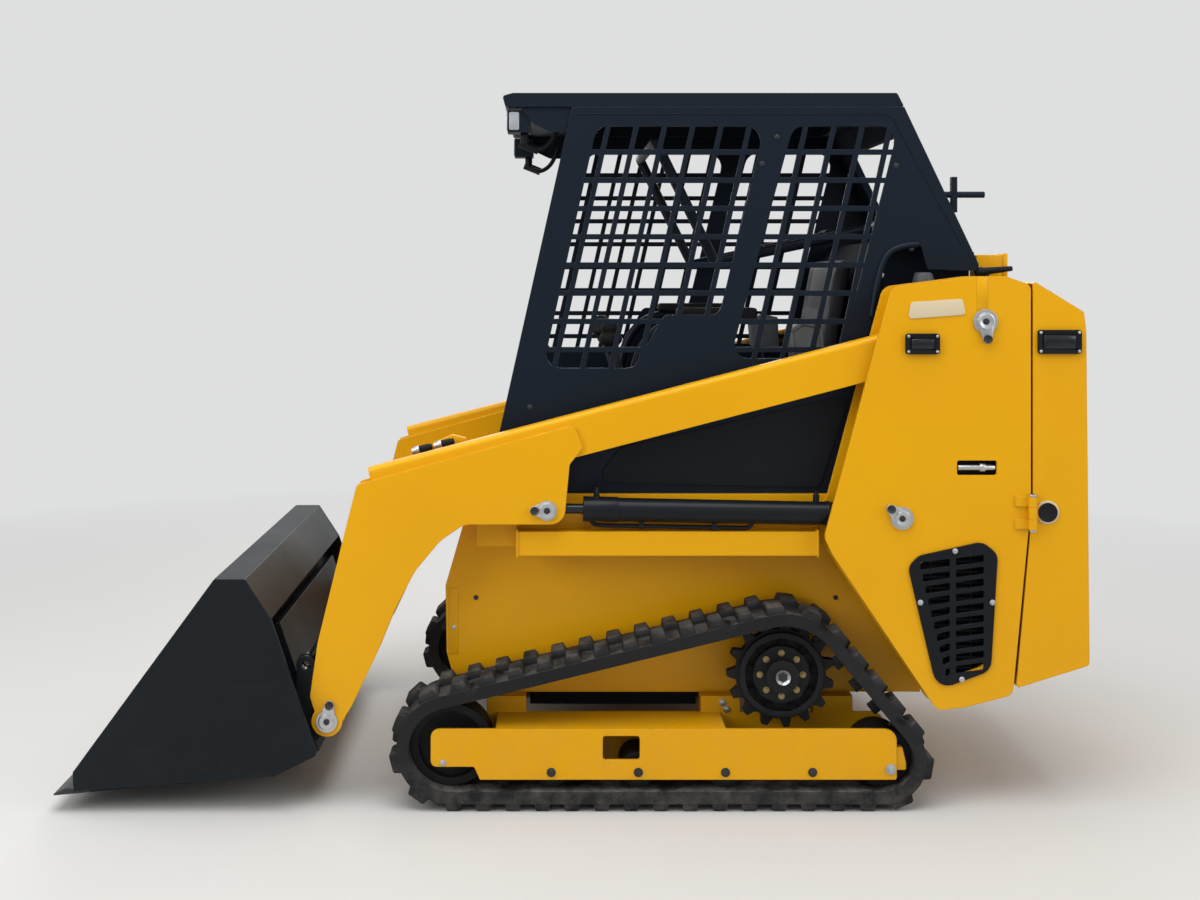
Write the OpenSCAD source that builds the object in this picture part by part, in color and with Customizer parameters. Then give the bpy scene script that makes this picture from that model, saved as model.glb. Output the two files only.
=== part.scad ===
// Compact track loader with lift arms, quick coupler and bucket, standing on its tracks.
// X runs forward, Y to the machine's left and Z up; the ground is Z = 0. Sizes are in millimetres.

/* [Track] */
// Middle of each track from the machine's middle plane
track_y = 510; // [460:1:560]
// Width of the rubber belt
track_w = 180; // [140:1:220]
// Thickness of the belt without its lugs
belt_t = 30; // [20:1:40]
// Height of a lug
lug_h = 25; // [10:1:35]
// Wanted distance from lug to lug along the belt
lug_pitch = 79; // [60:1:110]
// Share of the pitch that a lug fills
lug_share = 0.52; // [0.3:0.01:0.7]
// Radius on which the belt turns at the front idler
idler_r = 112; // [90:1:130]
// Place of the front idler along the machine
idler_x = 332; // [280:1:380]
// Radius on which the belt turns at the sprocket
drive_r = 149; // [130:1:165]
// Place of the sprocket along the machine
drive_x = -571; // [-620:1:-520]
// Height of the sprocket axle
drive_z = 350; // [320:1:380]
// Number of sprocket teeth
drive_teeth = 15; // [11:1:19]
// Radius on which the belt turns at the rear idler
tail_r = 80; // [60:1:90]
// Place of the rear idler along the machine
tail_x = -838; // [-880:1:-800]
// Radius of a track roller
roller_r = 47; // [35:1:60]
// Place of the first track roller behind the front idler
roller_x = 60; // [20:1:100]
// Distance between track rollers
roller_pitch = 235; // [200:1:250]
// Number of track rollers on a side
roller_count = 4; // [3:1:4]

/* [Track frame] */
// Thickness of the track frame's plates
frame_t = 10; // [6:1:14]
// Top of the track frame above the ground
frame_top = 220; // [190:1:240]
// Bottom of the track frame above the ground
frame_bottom = 84; // [75:1:100]
// Length of each bracket between track frame and hull
bracket_l = 110; // [80:1:120]

/* [Hull] */
// Gap between the hull and each track
track_gap = 20; // [10:1:30]
// Underside of the hull above the ground
belly_z = 265; // [240:1:300]
// Thickness of the hull's plates
hull_t = 10; // [6:1:14]
// Top of the side sills that carry the cab
sill_top = 835; // [800:1:860]
// Height of the side sills
sill_h = 145; // [120:1:160]
// Front end of the side sills
sill_x = 268; // [240:1:290]
// Height of the step rail on each side
step_h = 66; // [50:1:80]
// How far the step rail stands out from the sill
step_w = 60; // [40:1:75]
// Front end of the step rail
step_x = 154; // [100:1:200]

/* [Tower] */
// Side clearance of the arms between the tower plates
tower_gap = 5; // [5:1:8]
// Thickness of the tower plates
tower_t = 10; // [6:1:10]
// Number of slots in each column of the side grille
grille_rows = 10; // [6:1:12]

/* [Lift arms] */
// Arm pivot on the tower, along the machine and up
lift_pivot = [-1115, 1319.5]; // [-1400:0.5:1400]
// Lift cylinder's base pin on the tower, along the machine and up
lift_base = [-889, 787]; // [-1400:0.5:1400]
// Lift cylinder's rod pin on the arm, along the machine and up
lift_pin = [71.5, 805]; // [-1400:0.5:1400]
// Bucket hinge pin on the arm, along the machine and up
tilt_pivot = [670, 232]; // [-1400:0.5:1400]
// Tilt cylinder's base pin on the arm, along the machine and up
tilt_base = [420, 845]; // [-1400:0.5:1400]
// Tilt cylinder's rod pin on the coupler, along the machine and up
tilt_pin = [730, 380]; // [-1400:0.5:1400]
// Gap between the cab's sides and the arms
arm_gap = 30; // [26:1:34]
// Clear width between an arm's cheek plates
arm_w = 60; // [50:1:64]
// Thickness of the cheek plates
cheek_t = 10; // [6:1:10]
// Height of the arm's beam, square to its length
beam_h = 114; // [90:1:130]
// Radius of the cross tube between the arms
cross_r = 50; // [35:1:60]
// Radius of the arm pivot pin
pivot_r = 24; // [18:1:30]
// Radius of the cylinder pins
pin_r = 18; // [14:1:22]
// Radius of the bucket hinge pin
hinge_r = 20; // [16:1:26]
// Running clearance of a pin in a moving eye
pin_gap = 0.3; // [0.1:0.1:0.5]

/* [Cylinders] */
// Radius of the lift cylinder's barrel
lift_r = 32; // [26:1:36]
// Radius of the lift cylinder's rod
lift_rod_r = 14; // [10:1:20]
// Length of lift rod that shows between barrel and rod pin with the arms down
lift_out = 100; // [90:1:130]
// Radius of the tilt cylinder's barrel
tilt_r = 25; // [20:1:25]
// Radius of the tilt cylinder's rod
tilt_rod_r = 12; // [9:1:16]
// Length of tilt rod that shows between barrel and rod pin with the bucket level
tilt_out = 139; // [125:1:170]

/* [Bucket] */
// Half width of the bucket
bucket_y = 610; // [580:1:640]
// Thickness of the bucket's sheets
bucket_t = 8; // [5:1:12]
// Thickness of the cutting edge
edge_t = 16; // [12:1:22]
// Depth of the pocket behind the bucket that takes the coupler
pocket_d = 60; // [50:1:70]
// Thickness of the coupler's face plate
coupler_t = 18; // [10:1:24]

/* [Cab] */
// Outer face of the cab's sides from the middle plane
cab_y = 450; // [430:1:462]
// Thickness of the cab's side sheets
cab_t = 7; // [4:1:10]
// Top of the roof above the ground
roof_z = 1955; // [1920:1:1990]
// Thickness of the roof
roof_t = 39; // [25:1:50]
// Distance between the window grille's bars
grid_pitch = 79; // [60:1:100]
// Width of a window grille bar
grid_w = 15; // [8:1:18]
// Width of a front post, square to the middle plane
post_w = 40; // [30:1:60]
// How far the roof reaches forward of the cab's sides
visor_l = 195; // [150:1:220]
// Width of the rim between a side window and the cab's front edge
window_rim = 82; // [60:1:100]
// Half width of the seat
seat_y = 235; // [200:1:250]
// Height of the seat above the cab's floor plate
seat_h = 219; // [190:1:240]
// Place of the lap bar's pivot along the machine
bar_x = -872; // [-900:1:-840]
// Height of the lap bar's pivot under the roof
bar_drop = 336; // [300:1:360]
// Radius of the lap bar's tube
bar_r = 15; // [10:1:20]
// Middle of the lap bar's side tubes from the middle plane
bar_y = 330; // [300:1:380]

/* [Tailgate] */
// Thickness of the tailgate's sheet
gate_t = 8; // [5:1:12]
// Gap between tailgate and towers
gate_gap = 6; // [5:1:10]
// Radius of the tailgate hinge's knuckles
knuckle_r = 12; // [9:1:15]

/* [Hidden] */
$fn = 48;

// Running clearance between a rod and its gland
rod_gap = 0.3;
// Overshoot of a cut past the face it opens
cut = 1;
// Angle between chords where the belt turns
belt_step = 15;
// How far wheels stay clear of the belt's chords
belt_gap = 0.2;

idler_z = belt_t + lug_h + idler_r;
tail_z = belt_t + lug_h + tail_r;
track_in = track_y - track_w / 2;
track_out = track_y + track_w / 2;
frame_inset = 10;
frame_out = track_out - frame_inset;
frame_in = track_in + frame_inset;
hull_y = track_in - track_gap;

arm_y = cab_y + arm_gap + cheek_t + arm_w / 2;
arm_in = arm_y - arm_w / 2;
arm_out = arm_y + arm_w / 2;
boss_lip = 5;
tower_in = arm_in - boss_lip - tower_gap - tower_t;
tower_y = arm_out + cheek_t + tower_gap + tower_t;

// Cab heights, and the leaning lines of its front and rear edges
cab_top = roof_z - roof_t;
cab_in = cab_y - cab_t;
cab_foot = 243;
cab_slope = 0.223;
shelf_z = 1485;
shelf_x = -1132;
rear_slope = 0.4733;
function front_x(z) = cab_foot - (z - sill_top) * cab_slope;
function rear_x(z) = shelf_x + (z - shelf_z) * rear_slope;
bar_pivot = [bar_x, cab_top - bar_drop];

// Side faces that tower and tailgate share
gate_back = 124;
gate_x = lift_pivot.x - gate_back;
gate_foot_x = gate_x + 6;
gate_split_z = 758;
gate_bend_z = 841;

// Outlines, each point along the machine, up and with its corner radius
tower_outline = [
    [-862, 1413, 35], [-680, 735, 30], [-700, 690, 20], [-985, 266, 25], [gate_x + 176, 275, 0],
    [gate_x + 49, 308, 25], [gate_foot_x, gate_split_z, 0], [gate_x, gate_bend_z, 0], [gate_x, 1418, 20],
    [gate_x + 68, 1442, 10], [gate_x + 152, 1442, 30]
];
grille_outline = [
    [-905, 656, 35], [-936, 686, 30], [-1107, 724, 40], [-1148, 690, 35], [-1129, 375, 40],
    [-984, 322, 40]
];
cheek_outline = [
    [589, 875, 12], [-3, 1037, 18], [-26, 975, 12], [10, 930, 20], [25, 767, 40], [296, 767, 60],
    [362, 722, 120], [430, 640, 150], [485, 535, 200], [532, 420, 200], [601, 276, 0], [632, 226, 0],
    [660, 205, 20], [698, 240, 20], [716, 300, 12], [695, 446, 0], [623, 740, 0]
];
side_z = shelf_z - 29;
cab_back = [[-973, 1535, 20], [-911, 1527, 25], [-869, 1470, 15], [-817, 1143, 0], [-717, sill_top, 10]];
cab_outline = concat([
    [cab_foot, sill_top, 15], [front_x(cab_top), cab_top, 0], [rear_x(cab_top), cab_top, 0],
    [rear_x(side_z), side_z, 15], [-993, side_z + 5, 10]
], cab_back);
window_top = cab_top - 52;
window_z = 1185;
// Height at a share of the way up the side windows
function window_at(share) = window_z + share * (window_top - window_z);
front_window = [
    [front_x(window_top) - window_rim, window_top, 45], [front_x(window_z) - window_rim, window_z, 40],
    [-170, window_z, 25], [-258, window_at(0.22), 20], [-411, window_at(0.22), 30],
    [-538, window_top, 45]
];
rear_window = [
    [-618, window_top, 45], [-441, window_at(0.04), 40], [-747, window_at(0.04), 40],
    [-833, window_at(0.53), 0],
    [rear_x(window_top) + 39, window_top, 45]
];
cab_panel = [
    [-60, sill_top + 31, 25], [-690, sill_top + 17, 25], [-775, 1110, 25], [-130, 960, 40]
];
back_low = [687, 157];
back_high = [812, 522];
floor_rear = [802, 101];
tip_x = 1398;
tip_z = 46;
lip_z = 629;
lip_x = [882, 965];
bucket_side = [
    [lip_x[0], lip_z, 8], [lip_x[1], lip_z, 8], [1344, 111, 0], [1342, 60, 0],
    [floor_rear.x, floor_rear.y, 20], [back_low.x, back_low.y, 15], [back_high.x, back_high.y, 0]
];
gate_top = [gate_x - 150, 1290];
gate_low = [gate_x - 159, 388];
gate_outline = [
    [gate_x - gate_gap, 1430, 6], [gate_x - 144, 1345, 12], [gate_top.x, gate_top.y, 0],
    [gate_low.x, gate_low.y, 12], [gate_x + 39, 326, 6], [gate_foot_x - gate_gap, gate_split_z, 0],
    [gate_x - gate_gap, gate_bend_z, 0]
];
frame_front = idler_x + 53;
frame_rear = tail_x - 34;
frame_outline = [
    [frame_front, frame_top, 22], [frame_rear, frame_top, 30], [frame_rear, frame_bottom, 6],
    [frame_front - 133, frame_bottom, 0], [frame_front - 117, 119, 8], [frame_front, 119, 16]
];

// Joint directions
lift_len = norm(lift_pin - lift_base);
lift_deg = atan2(lift_pin.y - lift_base.y, lift_pin.x - lift_base.x);
tilt_len = norm(tilt_pin - tilt_base);
tilt_deg = atan2(tilt_pin.y - tilt_base.y, tilt_pin.x - tilt_base.x);
beam_deg = -14.6;
back_deg = atan2(back_high.y - back_low.y, back_high.x - back_low.x);

function xy(p) = [p.x, p.y];
function box_outline(low, high, r) =
    [[high.x, high.y, r], [low.x, high.y, r], [low.x, low.y, r], [high.x, low.y, r]];
function unit(v) = v / norm(v);
function heading(a) = [cos(a), sin(a)];
function left(v) = [-v.y, v.x];

// Points of the corner p between a and b, rounded to radius r
function corner(a, p, b, r, n = 5) =
    r <= 0 ? [p] :
    let (
        u = unit(a - p),
        v = unit(b - p),
        half = acos(u * v) / 2,
        middle = p + unit(u + v) * r / sin(half),
        first = p + u * r / tan(half) - middle,
        last = p + v * r / tan(half) - middle,
        from = atan2(first.y, first.x),
        sweep = (atan2(last.y, last.x) - from + 540) % 360 - 180
    )
    [for (i = [0:n]) middle + r * heading(from + sweep * i / n)];

// Closed outline with its corners rounded
function rounded(pts) =
    let (n = len(pts))
    [for (i = [0:n - 1])
        each corner(xy(pts[(i + n - 1) % n]), xy(pts[i]), xy(pts[(i + 1) % n]), pts[i].z)];

// Strip of thickness t on the left of a path
function mitre(p, i) =
    let (
        a = i == 0 ? undef : left(unit(p[i] - p[i - 1])),
        b = i == len(p) - 1 ? undef : left(unit(p[i + 1] - p[i]))
    )
    a == undef ? b : b == undef ? a : (a + b) / (1 + a * b);
function strip(p, t) = concat(p, [for (i = [len(p) - 1:-1:0]) p[i] + t * mitre(p, i)]);

// Belt loop: three wheels taken from the front idler over the sprocket to the rear idler
wheels = [[idler_x, idler_z, idler_r], [drive_x, drive_z, drive_r], [tail_x, tail_z, tail_r]];
function run_normal(a, b) =
    let (d = xy(b) - xy(a), u = unit(d), s = (b.z - a.z) / norm(d))
    [u.y, -u.x] * sqrt(1 - s * s) - u * s;
function angle_of(v) = atan2(v.y, v.x);
low_deg = angle_of(run_normal(wheels[2], wheels[0]));
top_deg = angle_of(run_normal(wheels[0], wheels[1]));
rear_deg = angle_of(run_normal(wheels[1], wheels[2]));
wrap_from = [low_deg, top_deg, rear_deg];
wrap_to = [top_deg, rear_deg, low_deg + 360];
function on_wheel(k, a, h) = xy(wheels[k]) + (wheels[k].z + h) * heading(a);
function run_end(k, e, h) =
    e == 0 ? on_wheel(k, wrap_to[k], h) : on_wheel((k + 1) % 3, wrap_from[(k + 1) % 3], h);
stretch = [for (k = [0:2]) each [
    (wrap_to[k] - wrap_from[k]) * PI / 180 * (wheels[k].z + belt_t),
    norm(run_end(k, 1, 0) - run_end(k, 0, 0))
]];
function upto(i) = i == 0 ? 0 : upto(i - 1) + stretch[i - 1];
loop_len = upto(6);
lug_count = round(loop_len / lug_pitch);
lug_step = loop_len / lug_count;
function stretch_at(s, i = 0) = i == 5 || s < upto(i + 1) ? i : stretch_at(s, i + 1);
function on_loop(s, h) =
    let (
        w = s % loop_len,
        i = stretch_at(w),
        f = (w - upto(i)) / stretch[i],
        k = floor(i / 2)
    )
    i % 2 == 1 ? run_end(k, 0, h) * (1 - f) + run_end(k, 1, h) * f :
    on_wheel(k, wrap_from[k] + f * (wrap_to[k] - wrap_from[k]), h);
function lug_outline(phase) = [for (i = [0:lug_count - 1])
    let (s = (i + phase) * lug_step, l = lug_share * lug_step, e = lug_h * 0.2)
    each [
        on_loop(s, belt_t), on_loop(s + e, belt_t + lug_h),
        on_loop(s + l - e, belt_t + lug_h), on_loop(s + l, belt_t)
    ]];
inner_outline = [for (k = [0:2])
    let (sweep = wrap_to[k] - wrap_from[k], n = ceil(sweep / belt_step))
    each [for (j = [0:n]) on_wheel(k, wrap_from[k] + sweep * j / n, 0)]];

module both() {
    children();
    mirror([0, 1, 0]) children();
}
module sheet(outline, y0, y1) {
    translate([0, y1, 0]) rotate([90, 0, 0]) linear_extrude(y1 - y0) polygon(outline);
}
module plate(outline, y0, y1) {
    sheet(rounded(outline), y0, y1);
}
module shaft(p, r, y0, y1) {
    translate([p.x, y0, p.y]) rotate([-90, 0, 0]) cylinder(h = y1 - y0, r = r);
}
module block(low, high) {
    translate(low) cube(high - low);
}
module yellow() {
    color([0.82, 0.55, 0.05]) children();
}
module dark() {
    color([0.09, 0.1, 0.11]) children();
}
module steel() {
    color([0.7, 0.7, 0.72]) children();
}

// Hull, sills and steps
hull_front = [[310, 736], [359, 567], [356, 378], [325, belly_z]];
hull_rear = -985;
rear_floor = -1185;
rear_floor_z = 330;
hatch_y = 300;
hatch_z = 420;
tie_down = [350, 310];
tie_down_r = 16;
tie_down_z = [250, 270];
tie_down_l = 137;
tie_down_rim = 32;
module chassis_tub() yellow() {
    outer = concat(hull_front, [[hull_rear, belly_z], [hull_rear, sill_top], [sill_x, sill_top]]);
    inner = [for (p = hull_front) p + [-hull_t, p.y == belly_z ? hull_t : 0]];
    difference() {
        sheet(outer, -hull_y, hull_y);
        sheet(concat(inner, [
            [hull_rear + hull_t, belly_z + hull_t], [hull_rear + hull_t, sill_top + cut],
            [sill_x - hull_t, sill_top + cut]
        ]), -hull_y + hull_t, hull_y - hull_t);
        block([hull_rear - cut, -hatch_y, hatch_z], [hull_rear + hull_t + cut, hatch_y, sill_top + cut]);
    }
    both() block([rear_floor, hull_y, sill_top - sill_h], [sill_x, tower_in, sill_top]);
    block([rear_floor, -tower_in, rear_floor_z], [hull_rear, tower_in, rear_floor_z + hull_t]);
    both() difference() {
        block([tie_down.x + tie_down_rim - tie_down_l, tie_down.y - tie_down_rim, tie_down_z[0]],
            [tie_down.x + tie_down_rim, tie_down.y + tie_down_rim, tie_down_z[1]]);
        translate([tie_down.x, tie_down.y, tie_down_z[0] - cut])
            cylinder(h = tie_down_z[1] - tie_down_z[0] + 2 * cut, r = tie_down_r);
    }
}
guard_x = [-350, 120];
guard_t = 37;
guard_y = hull_y - 10;
module belly_guard() dark()
    block([guard_x[0], -guard_y, belly_z - guard_t], [guard_x[1], guard_y, belly_z]);

step_end = -674;
step_t = 6;
step_cap = 8;
step_drop = 14;
step_z = sill_top - sill_h - step_drop;
module step_rails() yellow() both() {
    difference() {
        block([step_end, tower_in, step_z], [step_x, tower_in + step_w, step_z + step_h]);
        block([step_end - cut, tower_in + step_t, step_z + step_t],
            [step_x - step_cap, tower_in + step_w - step_t, step_z + step_h - step_t]);
    }
}

// Tracks and running gear
// Lug rows: inner edge and outer edge as shares of the belt's width, and shift as a share of the pitch
lug_rows = [[0, 0.5, 0], [0.5, 1, 0.5]];
module track() color([0.13, 0.13, 0.14]) difference() {
    union() for (row = lug_rows)
        sheet(lug_outline(row.z), track_in + row.x * track_w, track_in + row.y * track_w);
    sheet(inner_outline, track_in - 1, track_out + 1);
}
module track_left() track();
module track_right() mirror([0, 1, 0]) track();

roller_z = belt_t + lug_h + roller_r + belt_gap;
roller_places = [for (i = [0:roller_count - 1]) [roller_x - i * roller_pitch, roller_z]];
roller_w = 110;
axle_r = 18;
bracket_places = [130, -470, -785];
bracket_in = 70;
flange_gap = 10;
flange_x = [drive_x + drive_r + flange_gap, idler_x - idler_r - flange_gap];
frame_window = [[-179, 137], [-79, 202]];
module track_frames() yellow() both() {
    difference() {
        union() {
            plate(frame_outline, frame_out - frame_t, frame_out);
            plate(frame_outline, frame_in, frame_in + frame_t);
        }
        plate(box_outline(frame_window[0], frame_window[1], 8),
            frame_out - frame_t - cut, frame_out + cut);
    }
    block([flange_x[0], frame_in, frame_top - frame_t], [flange_x[1], frame_out - frame_t, frame_top]);
    for (x = bracket_places)
        block([x, hull_y - bracket_in, frame_top - frame_t], [x + bracket_l, frame_in + frame_t, belly_z]);
}
function in_belt(r) = r * cos(belt_step / 2) - belt_gap;
module wheel_on_axle(p, r, w) {
    shaft(p, r, track_y - w / 2, track_y + w / 2);
    shaft(p, axle_r, frame_in + frame_t, frame_out - frame_t);
}
idler_w = 90;
idler_web = 40;
idler_rim = 22;
idler_hub_r = 40;
module front_idlers() dark() both() {
    p = [idler_x, idler_z];
    difference() {
        wheel_on_axle(p, in_belt(idler_r), idler_w);
        for (side = [-1, 1]) translate([0, side * idler_web, 0]) difference() {
            shaft(p, idler_r - idler_rim, track_y - idler_web / 2, track_y + idler_web / 2);
            shaft(p, idler_hub_r, track_y - idler_web / 2 - cut, track_y + idler_web / 2 + cut);
        }
    }
}
tail_w = 100;
module rear_idlers() dark() both() wheel_on_axle([tail_x, tail_z], in_belt(tail_r), tail_w);
module track_rollers() dark() both() for (p = roller_places) wheel_on_axle(p, roller_r, roller_w);
tooth_h = 24;
tip_r = in_belt(drive_r) - belt_gap;
tooth_step = 360 / drive_teeth;
tooth_outline = [for (i = [0:drive_teeth - 1]) each [
    (tip_r - tooth_h) * heading(tooth_step * (i - 0.32)), tip_r * heading(tooth_step * (i - 0.13)),
    tip_r * heading(tooth_step * (i + 0.13)), (tip_r - tooth_h) * heading(tooth_step * (i + 0.32))
]];
hub_y = track_y + 10;
sprocket_t = 25;
dish_d = 10;
rim_r = tip_r - tooth_h - 8;
dish_r = rim_r - 15;
flange_r = 78;
hub_r = 45;
module sprockets() dark() both() {
    p = [drive_x, drive_z];
    difference() {
        translate([p.x, 0, p.y]) sheet(tooth_outline, hub_y - sprocket_t, hub_y);
        shaft(p, dish_r, hub_y - dish_d, hub_y + cut);
    }
    difference() {
        shaft(p, rim_r, hub_y - dish_d - 2, hub_y + 14);
        shaft(p, dish_r, hub_y - dish_d, hub_y + 15);
    }
    shaft(p, flange_r, hub_y - dish_d - 2, hub_y + 8);
    shaft(p, hub_r, hub_y, hub_y + 34);
}
motor_r = 92;
motor_neck_r = 70;
motor_neck = 35;
module drive_motors() dark() both() {
    p = [drive_x, drive_z];
    shaft(p, motor_r, hull_y, hub_y - sprocket_t - motor_neck);
    shaft(p, motor_neck_r, hub_y - sprocket_t - motor_neck - cut, hub_y - sprocket_t);
}

// Engine, kept as one block on its feet
engine_x = [-1150, -795];
engine_y = 250;
engine_z = [470, 1020];
foot_y = [-200, 150];
foot_w = 50;
foot_l = 80;
module engine_foot(x, z) for (y = foot_y) block([x, y, z], [x + foot_l, y + foot_w, engine_z[0] + cut]);
module engine_block() color([0.25, 0.26, 0.27]) {
    block([engine_x[0], -engine_y, engine_z[0]], [engine_x[1], engine_y, engine_z[1]]);
    engine_foot(engine_x[1] - foot_l - 40, belly_z + hull_t);
    engine_foot(engine_x[0] + 10, rear_floor_z + hull_t);
}

// Towers with their pins, grilles and lamps
module pin_hole(p, r) shaft(p, r, tower_in - 20 * cut, tower_y + 20 * cut);
base_pin_r = pin_r + 4;
knuckle_gap = 0.5;
hinge_x = gate_x - 1;
hinge_y = tower_y + knuckle_r + knuckle_gap;
hinge_z = 758;
knuckle_h = [27, 33, 27];
leaf_l = 45;
leaf_t = 5;
function knuckle_z(i) = i == 0 ? hinge_z : knuckle_z(i - 1) + knuckle_h[i - 1] + knuckle_gap;
module knuckle(i, side) {
    z = knuckle_z(i);
    translate([hinge_x, hinge_y, z]) cylinder(h = knuckle_h[i], r = knuckle_r);
    block([min(hinge_x, hinge_x + side * leaf_l), tower_y, z],
        [max(hinge_x, hinge_x + side * leaf_l), tower_y + leaf_t, z + knuckle_h[i]]);
}
grille_mid = [-1030, 520];
grille_lap = 0.9;
recess = [[-1147, 903], [-1039, 943]];
module tower() yellow() {
    difference() {
        union() {
            plate(tower_outline, tower_y - tower_t, tower_y);
            plate(tower_outline, tower_in, tower_in + tower_t);
            sheet(strip([[gate_x + 17, 1400], [gate_x + 17, gate_bend_z + 4], [gate_foot_x + 16, 770],
                [gate_x + 63, 330], [gate_x + 179, 292]], tower_t), tower_in + cut, tower_y - cut);
        }
        pin_hole(lift_pivot, pivot_r);
        pin_hole(lift_base, base_pin_r);
        plate([for (p = grille_outline)
            let (q = grille_mid + grille_lap * (xy(p) - grille_mid)) [q.x, q.y, p.z]],
            tower_y - tower_t - cut, tower_y + cut);
        plate(box_outline(recess[0], recess[1], 6), tower_y - tower_t - cut, tower_y + cut);
    }
}
module tower_left() yellow() {
    tower();
    knuckle(0, 1);
    knuckle(2, 1);
}
module tower_right() mirror([0, 1, 0]) tower();

// Grille columns: front end, where the plate's front edge leaves room for it, and rear end
slot_cols = [[-938, -1018], [-1034, -1110]];
slot_rim = 30;
slot_top = 668;
slot_run = 324;
slot_h = 20;
slot_rise = 10;
slot_lean = 0.12;
grille_t = 6;
// Front edge of the grille plate at height z
function grille_edge(z) =
    let (low = xy(grille_outline[5]), high = xy(grille_outline[0]))
    low.x + (z - low.y) * (high.x - low.x) / (high.y - low.y);
module tower_grilles() dark() both() difference() {
    plate(grille_outline, tower_y, tower_y + grille_t);
    for (col = slot_cols) for (i = [0:grille_rows - 1]) {
        z = slot_top - i * slot_run / grille_rows - (col[0] - slot_cols[0][0]) * slot_lean;
        x = min(col[0], grille_edge(z - slot_h) - slot_rim);
        plate([[x, z, 4], [col[1], z + slot_rise, 4], [col[1], z + slot_rise - slot_h, 4],
            [x, z - slot_h, 4]], tower_y - cut, tower_y + grille_t + cut);
    }
}
pin_collar = 9;
pin_collar_t = 6;
module tower_pin(p, r) {
    shaft(p, r, tower_in, tower_y + pin_collar_t + 3);
    shaft(p, r + pin_collar, tower_y, tower_y + pin_collar_t);
}
module pivot_pins() steel() both() {
    tower_pin(lift_pivot, pivot_r);
    tower_pin(lift_base, base_pin_r);
}
lamp_outline = [[-898, 1289, 8], [-990, 1283, 8], [-990, 1229, 8], [-898, 1235, 8]];
lamp_t = 12;
reflector_outline = [[-905, 1369, 8], [-1060, 1383, 8], [-1062, 1332, 8], [-908, 1324, 8]];
reflector_t = 2;
module tower_lamps() dark() both() {
    plate(lamp_outline, tower_y, tower_y + lamp_t);
    plate(reflector_outline, tower_y, tower_y + reflector_t);
}

// Hood between the towers, with its vents
hood_z = 1405;
hood_t = 22;
vent_x = [gate_x + 24, gate_x + 109];
vent_pitch = 60;
vent_w = 28;
vent_y = 330;
hood_path = [[gate_x + 3, hood_z], [gate_x + 119, hood_z], [-885, hood_z - 30]];
module hood() yellow() difference() {
    sheet(strip(hood_path, -hood_t), -tower_in, tower_in);
    for (y = [-vent_y:vent_pitch:vent_y])
        block([vent_x[0], y - vent_w / 2, hood_z - hood_t - cut], [vent_x[1], y + vent_w / 2, hood_z + cut]);
}

// Lift arms
function beam_point(l, h) = lift_pivot + l * heading(beam_deg) + h * left(heading(beam_deg));
beam_up = 34;
beam_r = 14;
beam_end_gap = 100;
beam_l = (tilt_base.x - beam_end_gap - lift_pivot.x) / cos(beam_deg);
// The beam's upper part runs on to the front, above the cheeks
ridge_h = 50;
ridge_end_gap = 37;
ridge_l = (cheek_outline[0].x - ridge_end_gap - lift_pivot.x) / cos(beam_deg);
module beam(l, h) translate([lift_pivot.x, 0, lift_pivot.y]) rotate([0, -beam_deg, 0]) rotate([0, 0, -90])
    plate([[-arm_in, beam_up, beam_r], [-arm_out, beam_up, beam_r], [-arm_out, beam_up - h, 0],
        [-arm_in, beam_up - h, 0]], 0, l);
toe_r = hinge_r + 22;
boss_r = pivot_r + 34;
blind_depth = cheek_t / 2;
module cheek(y0, y1) difference() {
    union() {
        plate(cheek_outline, y0, y1);
        shaft(tilt_pivot, toe_r, y0, y1);
    }
    arm_bore(tilt_pivot, hinge_r);
    arm_bore(lift_pin, pin_r);
    shaft(tilt_base, pin_r, arm_in - 2 * cheek_t, arm_out + blind_depth);
}
module arm_bore(p, r) shaft(p, r, arm_in - 2 * cheek_t, arm_out + 2 * cheek_t);
module arm() yellow() {
    difference() {
        union() {
            beam(beam_l, beam_h);
            beam(ridge_l, ridge_h);
            shaft(lift_pivot, boss_r, arm_in - boss_lip, arm_out + cheek_t);
        }
        arm_bore(lift_pivot, pivot_r + pin_gap);
    }
    cheek(arm_out, arm_out + cheek_t);
    cheek(arm_in - cheek_t, arm_in);
    for (path = [web_front, web_rear]) sheet(strip(path, cheek_t), arm_in, arm_out);
}
web_front = [[640, 645], [617, 738], [586, 862], beam_point(beam_l - 20, beam_up - 38)];
web_rear = [[345, 756], [372, 728], [440, 646], [495, 540], [542, 425], [590, 325]];
module arm_left() arm();
module arm_right() mirror([0, 1, 0]) arm();
cross_at = [520, 655];
module arm_crossmember() yellow()
    shaft(cross_at, cross_r, -arm_in + cheek_t, arm_in - cheek_t);
stub_l = 7;
module arm_pins() steel() both() {
    shaft(tilt_pivot, hinge_r, arm_in - cheek_t, arm_out + cheek_t);
    shaft(tilt_base, pin_r, arm_in - cheek_t, arm_out + blind_depth);
    shaft(lift_pin, pin_r, arm_out - stub_l, arm_out + cheek_t);
    shaft(lift_pin, pin_r, arm_in - cheek_t, arm_in + stub_l);
    for (pin = [[tilt_pivot, hinge_r + pin_collar], [lift_pin, pin_r + pin_collar]])
        shaft(pin[0], pin[1], arm_out + cheek_t, arm_out + cheek_t + pin_collar_t);
}

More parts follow.
